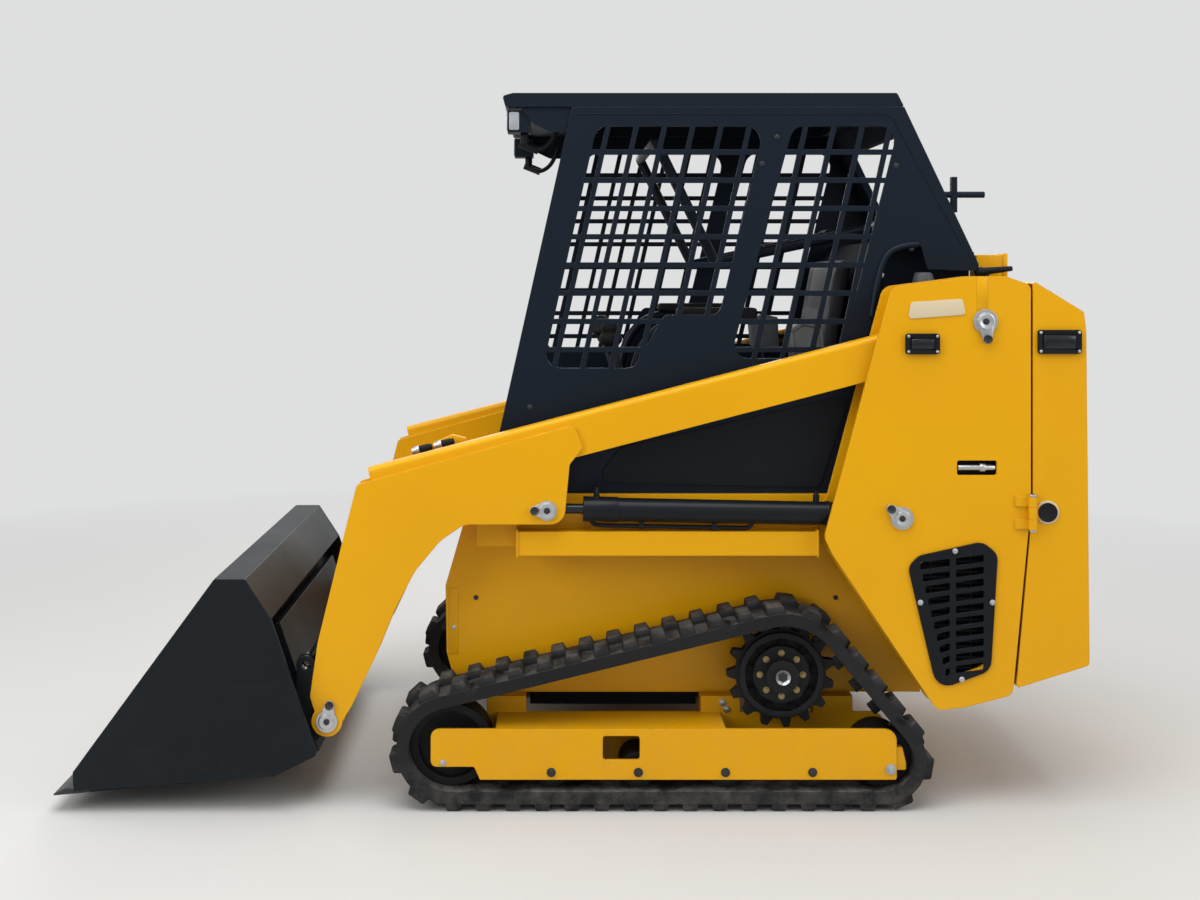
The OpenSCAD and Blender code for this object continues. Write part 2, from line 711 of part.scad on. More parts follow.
// Cylinders, each drawn along +X from its base pin
module along(p, deg) translate([p.x, arm_y, p.y]) rotate([0, -deg, 0]) children();
module rod_x(r, x0, x1) translate([x0, 0, 0]) rotate([0, 90, 0]) cylinder(h = x1 - x0, r = r);
module eye(x, r, w) translate([x, -w / 2, 0]) rotate([-90, 0, 0]) cylinder(h = w, r = r);
eye_wall = 16;
neck_x = [10, 60];
bore_x = 58;
band_x = [80, 110];
band_h = 3;
module barrel(l, r, bore, pin, eye_w) difference() {
    union() {
        eye(0, pin + eye_wall, eye_w);
        rod_x(0.8 * r, neck_x[0], neck_x[1]);
        rod_x(r, bore_x - band_h, l);
        rod_x(r + band_h, band_x[0], band_x[1]);
    }
    eye(0, pin + pin_gap, eye_w + 2 * cut);
    rod_x(bore, bore_x, l + cut);
}
module rod(from, to, r, hole, w) difference() {
    union() {
        rod_x(r, from, to - hole - rod_eye_wall / 2);
        eye(to, hole + rod_eye_wall, w);
    }
    eye(to, hole, w + 2 * cut);
}
rod_eye_wall = 14;
eye_play = 2;
lift_eye_w = 2 * (arm_w / 2 - stub_l) - 12;
lift_rod_in = 75;
tilt_rod_in = 135;
module lift_barrels() dark() both() along(lift_base, lift_deg)
    barrel(lift_len - lift_out, lift_r, lift_rod_r + rod_gap, base_pin_r, arm_w - 10);
module lift_rods() steel() both() along(lift_base, lift_deg)
    rod(lift_rod_in, lift_len, lift_rod_r, pin_r + eye_play, lift_eye_w);
module tilt_barrels() dark() both() along(tilt_base, tilt_deg)
    barrel(tilt_len - tilt_out, tilt_r - band_h, tilt_rod_r + rod_gap, pin_r, arm_w - 14);
module tilt_rods() steel() both() along(tilt_base, tilt_deg)
    rod(tilt_rod_in, tilt_len, tilt_rod_r, ear_hole_r + eye_play, tilt_eye_w);

// Bucket and coupler, whose back line runs up from the bucket's lower rear corner
function on_back(s, n) = back_low + s * heading(back_deg) - n * left(heading(back_deg));
// Outline between distances s along the back line and n in front of it
function on_back_box(s, n) =
    [on_back(s[0], n[0]), on_back(s[1], n[0]), on_back(s[1], n[1]), on_back(s[0], n[1])];
ear_gap = 5;
ear_t = 10;
ear_r = hinge_r + 16;
ear_hole_r = 12;
ear_tip_r = ear_hole_r + 14;
tilt_eye_w = arm_w - 2 * (ear_gap + ear_t) - 12;
coupler_gap = 8;
beam_s = [-6, 58];
face_s = [50, 345];
face_n = 2 * coupler_gap;
rib_y = [-300, 0, 300];
rib_w = 60;
module coupler() dark() {
    face_y = arm_in - cheek_t - 6;
    sheet(on_back_box(beam_s, [coupler_gap, pocket_d - 4]), -arm_out, arm_out);
    sheet(on_back_box(face_s, [face_n, face_n + coupler_t]), -face_y, face_y);
    for (y = rib_y)
        sheet(on_back_box([face_s[0], face_s[1] - 15], [face_n + coupler_t - 4, pocket_d]),
            y - rib_w / 2, y + rib_w / 2);
    both() for (y = [arm_in + ear_gap, arm_out - ear_gap - ear_t]) difference() {
        union() {
            shaft(tilt_pivot, ear_r, y, y + ear_t);
            shaft(tilt_pin, ear_tip_r, y, y + ear_t);
            sheet([tilt_pivot + [-30, 20], tilt_pin + [-ear_tip_r, 0], tilt_pin + [24, 10],
                on_back(140, 25), on_back(beam_s[1], 40), on_back(20, 40), on_back(20, coupler_gap),
                tilt_pivot + [10, -34]], y, y + ear_t);
        }
        shaft(tilt_pivot, hinge_r + pin_gap, y - cut, y + ear_t + cut);
        shaft(tilt_pin, ear_hole_r, y - cut, y + ear_t + cut);
    }
}
floor_slope = (tip_z - floor_rear.y) / (tip_x - floor_rear.x);
function floor_z(x) = floor_rear.y + (x - floor_rear.x) * floor_slope;
edge_l = 98;
edge_x = tip_x - edge_l;
edge_bevel = 30;
edge_nose = 4;
module bucket_shell() dark() {
    inner = bucket_y - bucket_t;
    sheet([
        [edge_x, floor_z(edge_x)], floor_rear, on_back(-8, pocket_d), on_back(380, pocket_d),
        on_back(386, 0), [lip_x[0], lip_z], [lip_x[1], lip_z], [lip_x[1], lip_z - lip_t],
        [lip_x[0] + 26, lip_z - lip_t], on_back(374, pocket_d + bucket_t), on_back(4, pocket_d + bucket_t),
        floor_rear + [1, bucket_t], [edge_x, floor_z(edge_x) + bucket_t]
    ], -inner, inner);
    both() plate(bucket_side, inner, bucket_y);
}
lip_t = 12;
module cutting_edge() dark()
    sheet([
        [edge_x, floor_z(edge_x)], [tip_x, tip_z], [tip_x, tip_z + edge_nose],
        [tip_x - edge_bevel, floor_z(tip_x - edge_bevel) + edge_t], [edge_x, floor_z(edge_x) + edge_t]
    ], -bucket_y + bucket_t, bucket_y - bucket_t);

// Cab
grid_low = 1000;
grid_h = cab_top - grid_low;
grid_first = 44;
module grid() {
    for (x = [shelf_x - grid_h:grid_pitch:cab_foot + grid_h])
        sheet([[x, grid_low], [x + grid_w, grid_low], [x + grid_w - cab_slope * grid_h, cab_top],
            [x - cab_slope * grid_h, cab_top]], cab_in, cab_y);
    for (z = [window_z + grid_first:grid_pitch:cab_top])
        block([shelf_x, cab_in, z], [cab_foot, cab_y, z + grid_w]);
}
module cab_side() dark() {
    difference() {
        plate(cab_outline, cab_in, cab_y);
        for (w = [front_window, rear_window]) plate(w, cab_in - cut, cab_y + cut);
    }
    for (w = [front_window, rear_window]) intersection() {
        plate(w, cab_in, cab_y);
        grid();
    }
}
module cab_side_left() cab_side();
module cab_side_right() mirror([0, 1, 0]) cab_side();
panel_t = 6;
module cab_lower_panels() dark() both() plate(cab_panel, cab_y, cab_y + panel_t);
roof_front = front_x(cab_top) + visor_l;
roof_rear = rear_x(cab_top);
roof_nose = 8;
roof_rim = 70;
roof_skin = 8;
module cab_roof() dark() difference() {
    plate([
        [roof_front, roof_z - roof_nose, 8], [roof_front - 30, roof_z, 12], [roof_rear + 20, roof_z, 8],
        [roof_rear, cab_top, 4], [roof_front - 10, cab_top, 8]
    ], -cab_y, cab_y);
    block([roof_rear + roof_rim, -cab_y + roof_rim, cab_top - cut],
        [front_x(cab_top) - roof_rim, cab_y - roof_rim, roof_z - roof_skin]);
}
post_d = 60;
header_h = 54;
function post_outline(z) = [
    [front_x(cab_top) - post_d, cab_top], [front_x(cab_top), cab_top], [front_x(z), z],
    [front_x(z) - post_d, z]
];
module cab_front() dark() {
    both() sheet(post_outline(sill_top), cab_in - post_w, cab_in);
    sheet(post_outline(cab_top - header_h), -cab_in, cab_in);
}
wall_t = 8;
wall_inset = [8, 8];
rear_t = 25;
rear_window_y = 320;
rear_window_share = [0.17, 0.84];
plenum_y = 400;
plenum_gap = 3;
wall_path = concat([for (i = [0:3]) xy(cab_back[i]) + wall_inset], [xy(cab_back[4]) + [wall_inset.x, 0]]);
wall_top = [shelf_x, shelf_z] + [wall_inset.x, 2 * wall_inset.y];
module cab_rear() dark() {
    difference() {
        sheet([[rear_x(cab_top), cab_top], wall_top, wall_top + [rear_t, 0],
            [rear_x(cab_top) + rear_t, cab_top]], -cab_in, cab_in);
        block([wall_top.x - rear_t, -rear_window_y, wall_at(rear_window_share[0])],
            [rear_x(cab_top) + 2 * rear_t, rear_window_y, wall_at(rear_window_share[1])]);
    }
    sheet(strip(concat([wall_top], wall_path), wall_t), -cab_in, cab_in);
    both() sheet(plenum, plenum_y - wall_t, plenum_y);
    block([wall_top.x, -plenum_y, hood_z + plenum_gap], [wall_top.x + wall_t, plenum_y, wall_top.y + cut]);
}
// Height at a share of the way up the rear wall
function wall_at(share) = wall_top.y + share * (cab_top - wall_top.y);
// Sides of the air box between hood and cab
plenum = concat([for (p = concat([wall_top], [for (i = [0:2]) wall_path[i]])) p + [0, plenum_gap]],
    [[wall_path[2].x + 9, hood_path[2].y + 10], hood_path[2] + [0, plenum_gap],
    [wall_top.x, hood_z + plenum_gap]]);
deck_x = [-700, -300];
deck_t = 8;
deck_z = sill_top + deck_t;
foot_z = 430;
foot_x = 330;
module cab_floor() dark() {
    y = hull_y - hull_t;
    block([deck_x[1], -y, foot_z], [foot_x, y, foot_z + deck_t]);
    block([deck_x[1] - deck_t, -y, foot_z], [deck_x[1], y, sill_top]);
    block([deck_x[0], -cab_in, sill_top], [deck_x[1], cab_in, deck_z]);
}
seat_z = deck_z + seat_h;
seat_x = [-735, -330];
cushion_t = 97;
cushion_z = seat_z - cushion_t;
base_inset = [45, 45, 20];
back_top = 1500;
back_t = 60;
back_lean = 0.185;
module seat_base() dark()
    block([seat_x[0] + base_inset.x, -seat_y + base_inset.y, deck_z],
        [seat_x[1] - base_inset.z, seat_y - base_inset.y, cushion_z]);
module seat_cushion() dark()
    plate([[seat_x[1], cushion_z, 20], [seat_x[1], seat_z + 16, 45], [-560, seat_z, 0],
        [seat_x[0], seat_z, 10], [seat_x[0], cushion_z, 20]], -seat_y, seat_y);
module seat_back() dark() {
    z = seat_z + pin_gap;
    x = seat_x[0] + 32;
    lean = back_lean * (back_top - z);
    plate([[x, z, 10], [x - lean, back_top, 25], [x - lean - back_t, back_top, 15], [x - back_t, z, 10]],
        -seat_y, seat_y);
}
console_y = [40, 150];
lever_at = [-150, 1000];
lever_y = 100;
lever_l = 230;
lever_r = 10;
lever_deg = 12;
knob_r = 30;
module control_levers() dark() both() {
    knob = lever_at + (lever_l - 10) * heading(90 - lever_deg);
    plate([[-130, 930, 30], [-130, 1010, 40], [-520, 1030, 30], [-520, deck_z, 0], [-320, deck_z, 0]],
        cab_in - console_y[1], cab_in - console_y[0]);
    translate([lever_at.x, cab_in - lever_y, lever_at.y]) rotate([0, lever_deg, 0])
        cylinder(h = lever_l, r = lever_r);
    translate([knob.x, cab_in - lever_y, knob.y]) sphere(r = knob_r);
}
bar_elbow = bar_pivot + [460, -98];
bar_end = bar_pivot + [632, 253];
bar_boss = 5;
module tube(a, b, y) {
    d = b - a;
    translate([a.x, y, a.y]) rotate([0, 90 - angle_of(d), 0]) cylinder(h = norm(d), r = bar_r);
}
module lap_bar() dark() {
    both() {
        tube(bar_pivot, bar_elbow, bar_y);
        tube(bar_elbow, bar_end, bar_y);
        translate([bar_elbow.x, bar_y, bar_elbow.y]) sphere(r = bar_r);
        translate([bar_end.x, bar_y, bar_end.y]) sphere(r = bar_r);
        shaft(bar_pivot, bar_r + bar_boss, bar_y - bar_r, cab_in - pin_gap);
    }
    shaft(bar_end, bar_r, -bar_y, bar_y);
}
// Lamps on brackets that hang from the roof ahead of the front posts
lamp_x = [118, 182];
lamp_drop = [8, 70];
lamp_w = 62;
lamp_plate_t = 8;
lamp_plate_h = 70;
module work_lamps() dark() both() {
    y = cab_in - lamp_plate_t;
    low = cab_top - lamp_plate_h;
    plate([[front_x(cab_top) + cut, cab_top, 0], [lamp_x[1] - 32, cab_top, 0],
        [lamp_x[0] - 10, low + 22, 45], [lamp_x[0] - 55, low, 30], [front_x(low) + cut, low, 6]],
        y, y + lamp_plate_t);
    block([lamp_x[0], y - lamp_w, cab_top - lamp_drop[1]], [lamp_x[1], y, cab_top - lamp_drop[0]]);
}
handle_z = wall_at(0.414);
handle_l = 118;
handle_r = 9;
handle_out = 24;
grip_w = 16;
grip_h = 100;
// Outer face of the cab's rear wall at height z
function wall_x(z) =
    wall_top.x + (z - wall_top.y) * (rear_x(cab_top) - wall_top.x) / (cab_top - wall_top.y);
module rear_handle() dark() both() {
    x = wall_x(handle_z - handle_r) - pin_gap;
    y = cab_in - 40;
    translate([x - handle_l, y, handle_z]) rotate([0, 90, 0]) cylinder(h = handle_l, r = handle_r);
    block([x - handle_out - grip_w, y - handle_r, handle_z - grip_h / 2],
        [x - handle_out, y + handle_r, handle_z + grip_h / 2]);
}

// Tailgate
louvre_y = 330;
louvre_z = 760;
louvre_h = 20;
louvre_pitch = 42;
louvre_count = 10;
module tailgate() yellow() {
    difference() {
        plate(gate_outline, -tower_y, tower_y);
        sheet([[gate_x + 139, 1420], [gate_x - 11, 1420], [gate_x - 137, 1340], gate_top + [gate_t, 0],
            gate_low + [gate_t, gate_t], [gate_x + 139, 306]], -tower_y + gate_t, tower_y - gate_t);
        for (i = [0:louvre_count - 1]) translate([0, 0, louvre_z + i * louvre_pitch])
            block([gate_low.x - gate_t, -louvre_y, 0], [gate_top.x + 2 * gate_t, louvre_y, louvre_h]);
    }
    knuckle(1, -1);
}
gate_lamp = [[gate_x - 135, 1232], [gate_x - 17, 1297]];
gate_lamp_t = 10;
module tailgate_lamps() dark() both()
    plate(box_outline(gate_lamp[0], gate_lamp[1], 6), tower_y, tower_y + gate_lamp_t);

// Sub-part to draw

chassis_tub();
belly_guard();
step_rails();
track_left();
track_right();
track_frames();
front_idlers();
rear_idlers();
track_rollers();
sprockets();
drive_motors();
engine_block();
tower_left();
tower_right();
tower_grilles();
pivot_pins();
tower_lamps();
hood();
cab_side_left();
cab_side_right();
cab_lower_panels();
cab_roof();
cab_front();
cab_rear();
cab_floor();
seat_base();
seat_cushion();
seat_back();
control_levers();
work_lamps();
rear_handle();
lap_bar();
arm_left();
arm_right();
arm_crossmember();
arm_pins();
lift_barrels();
lift_rods();
tilt_barrels();
tilt_rods();
coupler();
bucket_shell();
cutting_edge();
tailgate();
tailgate_lamps();
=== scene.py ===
import math

import bpy
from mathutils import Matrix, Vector


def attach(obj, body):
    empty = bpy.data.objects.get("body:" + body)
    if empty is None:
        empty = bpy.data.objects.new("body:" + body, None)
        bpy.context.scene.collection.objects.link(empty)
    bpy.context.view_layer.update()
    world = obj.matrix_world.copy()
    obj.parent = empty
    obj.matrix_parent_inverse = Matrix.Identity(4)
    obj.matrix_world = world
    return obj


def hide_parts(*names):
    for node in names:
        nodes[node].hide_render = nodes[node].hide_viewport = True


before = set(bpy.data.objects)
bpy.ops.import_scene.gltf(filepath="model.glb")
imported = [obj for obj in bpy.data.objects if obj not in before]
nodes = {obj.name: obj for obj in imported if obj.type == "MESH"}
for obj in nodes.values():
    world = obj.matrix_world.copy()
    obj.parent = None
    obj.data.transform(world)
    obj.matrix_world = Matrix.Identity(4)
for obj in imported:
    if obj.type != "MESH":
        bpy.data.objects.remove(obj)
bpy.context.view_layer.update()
sides = {"Left": 1, "Right": -1}
print("frame loaded")

# small modelling tools, all through operators


def deselect():
    bpy.ops.object.select_all(action="DESELECT")


def choose(obj):
    deselect()
    obj.select_set(True)
    bpy.context.view_layer.objects.active = obj


def edit(obj, kind="FACE", everything=True):
    choose(obj)
    bpy.ops.object.mode_set(mode="EDIT")
    bpy.ops.mesh.select_mode(type=kind)
    if everything:
        bpy.ops.mesh.select_all(action="SELECT")


def leaveEdit():
    bpy.ops.object.mode_set(mode="OBJECT")


def pick(obj, test):
    mesh = obj.data
    for part in (mesh.vertices, mesh.edges, mesh.polygons):
        part.foreach_set("select", [False] * len(part))
    for face in mesh.polygons:
        face.select = bool(test(face))
    edit(obj, "FACE", False)


def recess(obj, side, inset, depth):
    pick(obj, lambda f: f.normal.y * side > 0.9)
    bpy.ops.mesh.inset(thickness=inset)
    bpy.ops.transform.translate(value=(0, -side * depth, 0))
    leaveEdit()
    return obj


def applyPlace(obj):
    choose(obj)
    bpy.ops.object.transform_apply(location=True, rotation=True, scale=True)
    return obj


def applyModifier(obj, kind, **values):
    choose(obj)
    mod = obj.modifiers.new(kind.title(), kind)
    for key, value in values.items():
        setattr(mod, key, value)
    bpy.ops.object.modifier_apply(modifier=mod.name)
    return obj


def softEdges(obj, width, segments=2, angle=35):
    return applyModifier(obj, "BEVEL", width=width, segments=segments, limit_method="ANGLE",
                         angle_limit=math.radians(angle), harden_normals=False)


def smooth(obj, angle=40):
    choose(obj)
    bpy.ops.object.shade_smooth_by_angle(angle=math.radians(angle))
    return obj


def faceOut(obj):
    edit(obj)
    bpy.ops.mesh.remove_doubles(threshold=0.00001)
    bpy.ops.mesh.normals_make_consistent(inside=False)
    leaveEdit()
    return obj


def addBlock(low, high, soft=0.0, segments=2):
    deselect()
    middle = [(a + b) / 2 for a, b in zip(low, high)]
    bpy.ops.mesh.primitive_cube_add(size=1, location=middle, scale=[abs(b - a) for a, b in zip(low, high)])
    obj = applyPlace(bpy.context.active_object)
    return softEdges(obj, soft, segments) if soft else obj


def addRound(start, end, radius, count=24, soft=0.0, tip=None):
    deselect()
    start, end = Vector(start), Vector(end)
    run = end - start
    bpy.ops.mesh.primitive_cone_add(vertices=count, radius1=radius, radius2=radius if tip is None else tip,
                                    depth=run.length, location=(start + end) / 2,
                                    rotation=run.to_track_quat("Z", "Y").to_euler())
    obj = applyPlace(bpy.context.active_object)
    return softEdges(obj, soft) if soft else obj


def addPlate(outline, yFrom, yTo, soft=0.0, segments=2):
    deselect()
    bpy.ops.mesh.primitive_circle_add(vertices=len(outline), fill_type="NGON")
    obj = bpy.context.active_object
    for vertex, (x, z) in zip(obj.data.vertices, outline):
        vertex.co = (x, yFrom, z)
    edit(obj)
    bpy.ops.mesh.extrude_region_move(TRANSFORM_OT_translate={"value": (0, yTo - yFrom, 0)})
    leaveEdit()
    faceOut(obj)
    return softEdges(obj, soft, segments) if soft else obj


def roundedOutline(low, high, radius, steps=5):
    points = []
    for cx, cz, first in ((high[0] - radius, high[1] - radius, 0), (low[0] + radius, high[1] - radius, 90),
                          (low[0] + radius, low[1] + radius, 180), (high[0] - radius, low[1] + radius, 270)):
        for i in range(steps + 1):
            a = math.radians(first + 90 * i / steps)
            points.append((cx + radius * math.cos(a), cz + radius * math.sin(a)))
    return points


def softOutline(points, radius, steps=5):
    rounded = []
    for i, place in enumerate(points):
        here = Vector(place[:2])
        r = place[2] if len(place) > 2 else radius
        back = (Vector(points[i - 1][:2]) - here)
        ahead = (Vector(points[(i + 1) % len(points)][:2]) - here)
        half = back.angle(ahead) / 2
        if r <= 0 or half > 1.55:
            rounded.append(tuple(here))
            continue
        run = min(r / math.tan(half), back.length * 0.49, ahead.length * 0.49)
        first, last = here + back.normalized() * run, here + ahead.normalized() * run
        for k in range(steps + 1):
            t = k / steps
            rounded.append(tuple(first * (1 - t) ** 2 + here * 2 * t * (1 - t) + last * t * t))
    return rounded


def addPipe(points, radius, count=10, ripple=0.0, closed=False, kind="NURBS"):
    deselect()
    bpy.ops.curve.primitive_nurbs_path_add()
    obj = bpy.context.active_object
    curve = obj.data
    curve.splines.clear()
    spline = curve.splines.new(kind)
    spline.points.add(len(points) - 1)
    for i, (slot, place) in enumerate(zip(spline.points, points)):
        slot.co = (*place, 1)
        slot.radius = 1 + ripple * math.sin(i * 2.4)
    if kind == "NURBS":
        spline.order_u = min(4, len(points))
        spline.use_endpoint_u = not closed
    spline.use_cyclic_u = closed
    spline.resolution_u = 6
    curve.dimensions = "3D"
    curve.bevel_depth = radius
    curve.bevel_resolution = max(1, count // 4)
    curve.use_fill_caps = True
    choose(obj)
    bpy.ops.object.convert(target="MESH")
    obj = bpy.context.active_object
    obj.matrix_world.identity()
    return faceOut(applyPlace(obj))


def copyOf(obj, move=(0, 0, 0)):
    twin = obj.copy()
    twin.data = obj.data.copy()
    bpy.context.collection.objects.link(twin)
    twin.location = move
    return applyPlace(twin)


def join(objs):
    deselect()
    for obj in objs:
        obj.select_set(True)
    bpy.context.view_layer.objects.active = objs[0]
    if len(objs) > 1:
        bpy.ops.object.join()
    return bpy.context.active_object


def discard(obj):
    bpy.data.objects.remove(obj, do_unlink=True)


def finishPiece(obj, name, material, body, angle=40):
    smooth(obj, angle)
    obj.name = name
    obj.data.name = name
    obj.data.materials.clear()
    obj.data.materials.append(finishes[material])
    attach(obj, body)
    return obj


# shader groups shared by the finishes


def newGroup(name, inputs, outputs):
    group = bpy.data.node_groups.new(name, "ShaderNodeTree")
    for label, value in inputs.items():
        socket = group.interface.new_socket(name=label, in_out="INPUT", socket_type="NodeSocketFloat")
        socket.default_value = value
    for label, kind in outputs.items():
        group.interface.new_socket(name=label, in_out="OUTPUT", socket_type=kind)
    return group, group.nodes.new("NodeGroupInput"), group.nodes.new("NodeGroupOutput")


def put(tree, kind, **values):
    node = tree.nodes.new("ShaderNode" + kind)
    for key, value in values.items():
        if hasattr(node, key) and key not in node.inputs:
            setattr(node, key, value)
        else:
            node.inputs[key].default_value = value
    return node


def wire(tree, source, target):
    tree.links.new(source, target)


def math2(tree, operation, a, b=None, clamp=False):
    node = put(tree, "Math", operation=operation, use_clamp=clamp)
    for i, value in enumerate((a, b)):
        if value is None:
            continue
        if isinstance(value, (int, float)):
            node.inputs[i].default_value = value
        else:
            wire(tree, value, node.inputs[i])
    return node.outputs[0]


def noise(tree, coords, scale, detail=3.0, roughness=0.55):
    node = put(tree, "TexNoise", Detail=detail, Roughness=roughness)
    wire(tree, coords, node.inputs["Vector"])
    if isinstance(scale, (int, float)):
        node.inputs["Scale"].default_value = scale
    else:
        wire(tree, scale, node.inputs["Scale"])
    return node.outputs["Fac"]


def ramp(tree, value, low, high):
    node = put(tree, "MapRange", clamp=True)
    node.inputs["From Min"].default_value = low
    node.inputs["From Max"].default_value = high
    wire(tree, value, node.inputs["Value"])
    return node.outputs["Result"]


def makeEdgeWear():
    group, gin, gout = newGroup("edgeWear", {"Radius": 0.004, "Breakup": 40.0},
                                {"Mask": "NodeSocketFloat", "Normal": "NodeSocketVector"})
    bevel = put(group, "Bevel", samples=4)
    wire(group, gin.outputs["Radius"], bevel.inputs["Radius"])
    geometry = put(group, "NewGeometry")
    facing = put(group, "VectorMath", operation="DOT_PRODUCT")
    wire(group, bevel.outputs["Normal"], facing.inputs[0])
    wire(group, geometry.outputs["Normal"], facing.inputs[1])
    turned = ramp(group, math2(group, "SUBTRACT", 1.0, facing.outputs["Value"]), 0.01, 0.12)
    coords = put(group, "TexCoord").outputs["Object"]
    patchy = ramp(group, noise(group, coords, gin.outputs["Breakup"], 4.0), 0.42, 0.66)
    wire(group, math2(group, "MULTIPLY", turned, patchy), gout.inputs["Mask"])
    wire(group, bevel.outputs["Normal"], gout.inputs["Normal"])
    return group


def makePaintGrain():
    group, gin, gout = newGroup("paintGrain", {"Peel": 260.0, "Cloud": 2.2},
                                {"Height": "NodeSocketFloat", "Tone": "NodeSocketFloat"})
    coords = put(group, "TexCoord").outputs["Object"]
    peel = noise(group, coords, gin.outputs["Peel"], 2.0)
    cloud = noise(group, coords, gin.outputs["Cloud"], 4.0)
    wire(group, peel, gout.inputs["Height"])
    wire(group, ramp(group, cloud, 0.3, 0.7), gout.inputs["Tone"])
    return group


def makeDustFilm():
    group, gin, gout = newGroup("dustFilm", {"Reach": 0.6, "Lift": 0.25}, {"Mask": "NodeSocketFloat"})
    coords = put(group, "TexCoord").outputs["Object"]
    axes = put(group, "SeparateXYZ")
    wire(group, coords, axes.inputs[0])
    low = math2(group, "SUBTRACT", 1.0, math2(group, "DIVIDE", axes.outputs["Z"], gin.outputs["Reach"]), True)
    normal = put(group, "SeparateXYZ")
    wire(group, put(group, "NewGeometry").outputs["Normal"], normal.inputs[0])
    up = math2(group, "MULTIPLY", math2(group, "MAXIMUM", normal.outputs["Z"], 0.0), gin.outputs["Lift"])
    speckle = ramp(group, noise(group, coords, 14.0, 6.0, 0.7), 0.4, 0.75)
    total = math2(group, "ADD", math2(group, "MULTIPLY", low, 0.7), up)
    wire(group, math2(group, "MULTIPLY", total, speckle, True), gout.inputs["Mask"])
    return group


def makeScuffs():
    group, gin, gout = newGroup("scuffs", {"Across": 90.0, "Along": 3.0}, {"Mask": "NodeSocketFloat"})
    coords = put(group, "TexCoord").outputs["Object"]
    stretch = put(group, "CombineXYZ")
    wire(group, gin.outputs["Along"], stretch.inputs["X"])
    wire(group, gin.outputs["Across"], stretch.inputs["Y"])
    wire(group, gin.outputs["Across"], stretch.inputs["Z"])
    scaled = put(group, "VectorMath", operation="MULTIPLY")
    wire(group, coords, scaled.inputs[0])
    wire(group, stretch.outputs[0], scaled.inputs[1])
    lines = ramp(group, noise(group, scaled.outputs[0], 1.0, 3.0), 0.62, 0.78)
    patches = ramp(group, noise(group, coords, 3.5, 2.0), 0.45, 0.65)
    wire(group, math2(group, "MULTIPLY", lines, patches), gout.inputs["Mask"])
    return group


def makePebble():
    group, gin, gout = newGroup("pebbleGrain", {"Scale": 380.0}, {"Height": "NodeSocketFloat"})
    coords = put(group, "TexCoord").outputs["Object"]
    cells = put(group, "TexVoronoi", feature="F1")
    wire(group, coords, cells.inputs["Vector"])
    wire(group, gin.outputs["Scale"], cells.inputs["Scale"])
    wire(group, cells.outputs["Distance"], gout.inputs["Height"])
    return group


groups = {"edgeWear": makeEdgeWear(), "paintGrain": makePaintGrain(), "dustFilm": makeDustFilm(),
          "scuffs": makeScuffs(), "pebble": makePebble()}
print("shader groups made")


def useGroup(tree, name, **values):
    node = tree.nodes.new("ShaderNodeGroup")
    node.node_tree = groups[name]
    for key, value in values.items():
        node.inputs[key].default_value = value
    return node


def mixColour(tree, mask, first, second):
    node = tree.nodes.new("ShaderNodeMix")
    node.data_type = "RGBA"
    wire(tree, mask, node.inputs["Factor"])
    for value, socket in ((first, node.inputs[6]), (second, node.inputs[7])):
        if isinstance(value, tuple):
            socket.default_value = (*value, 1)
        else:
            wire(tree, value, socket)
    return node.outputs[2]


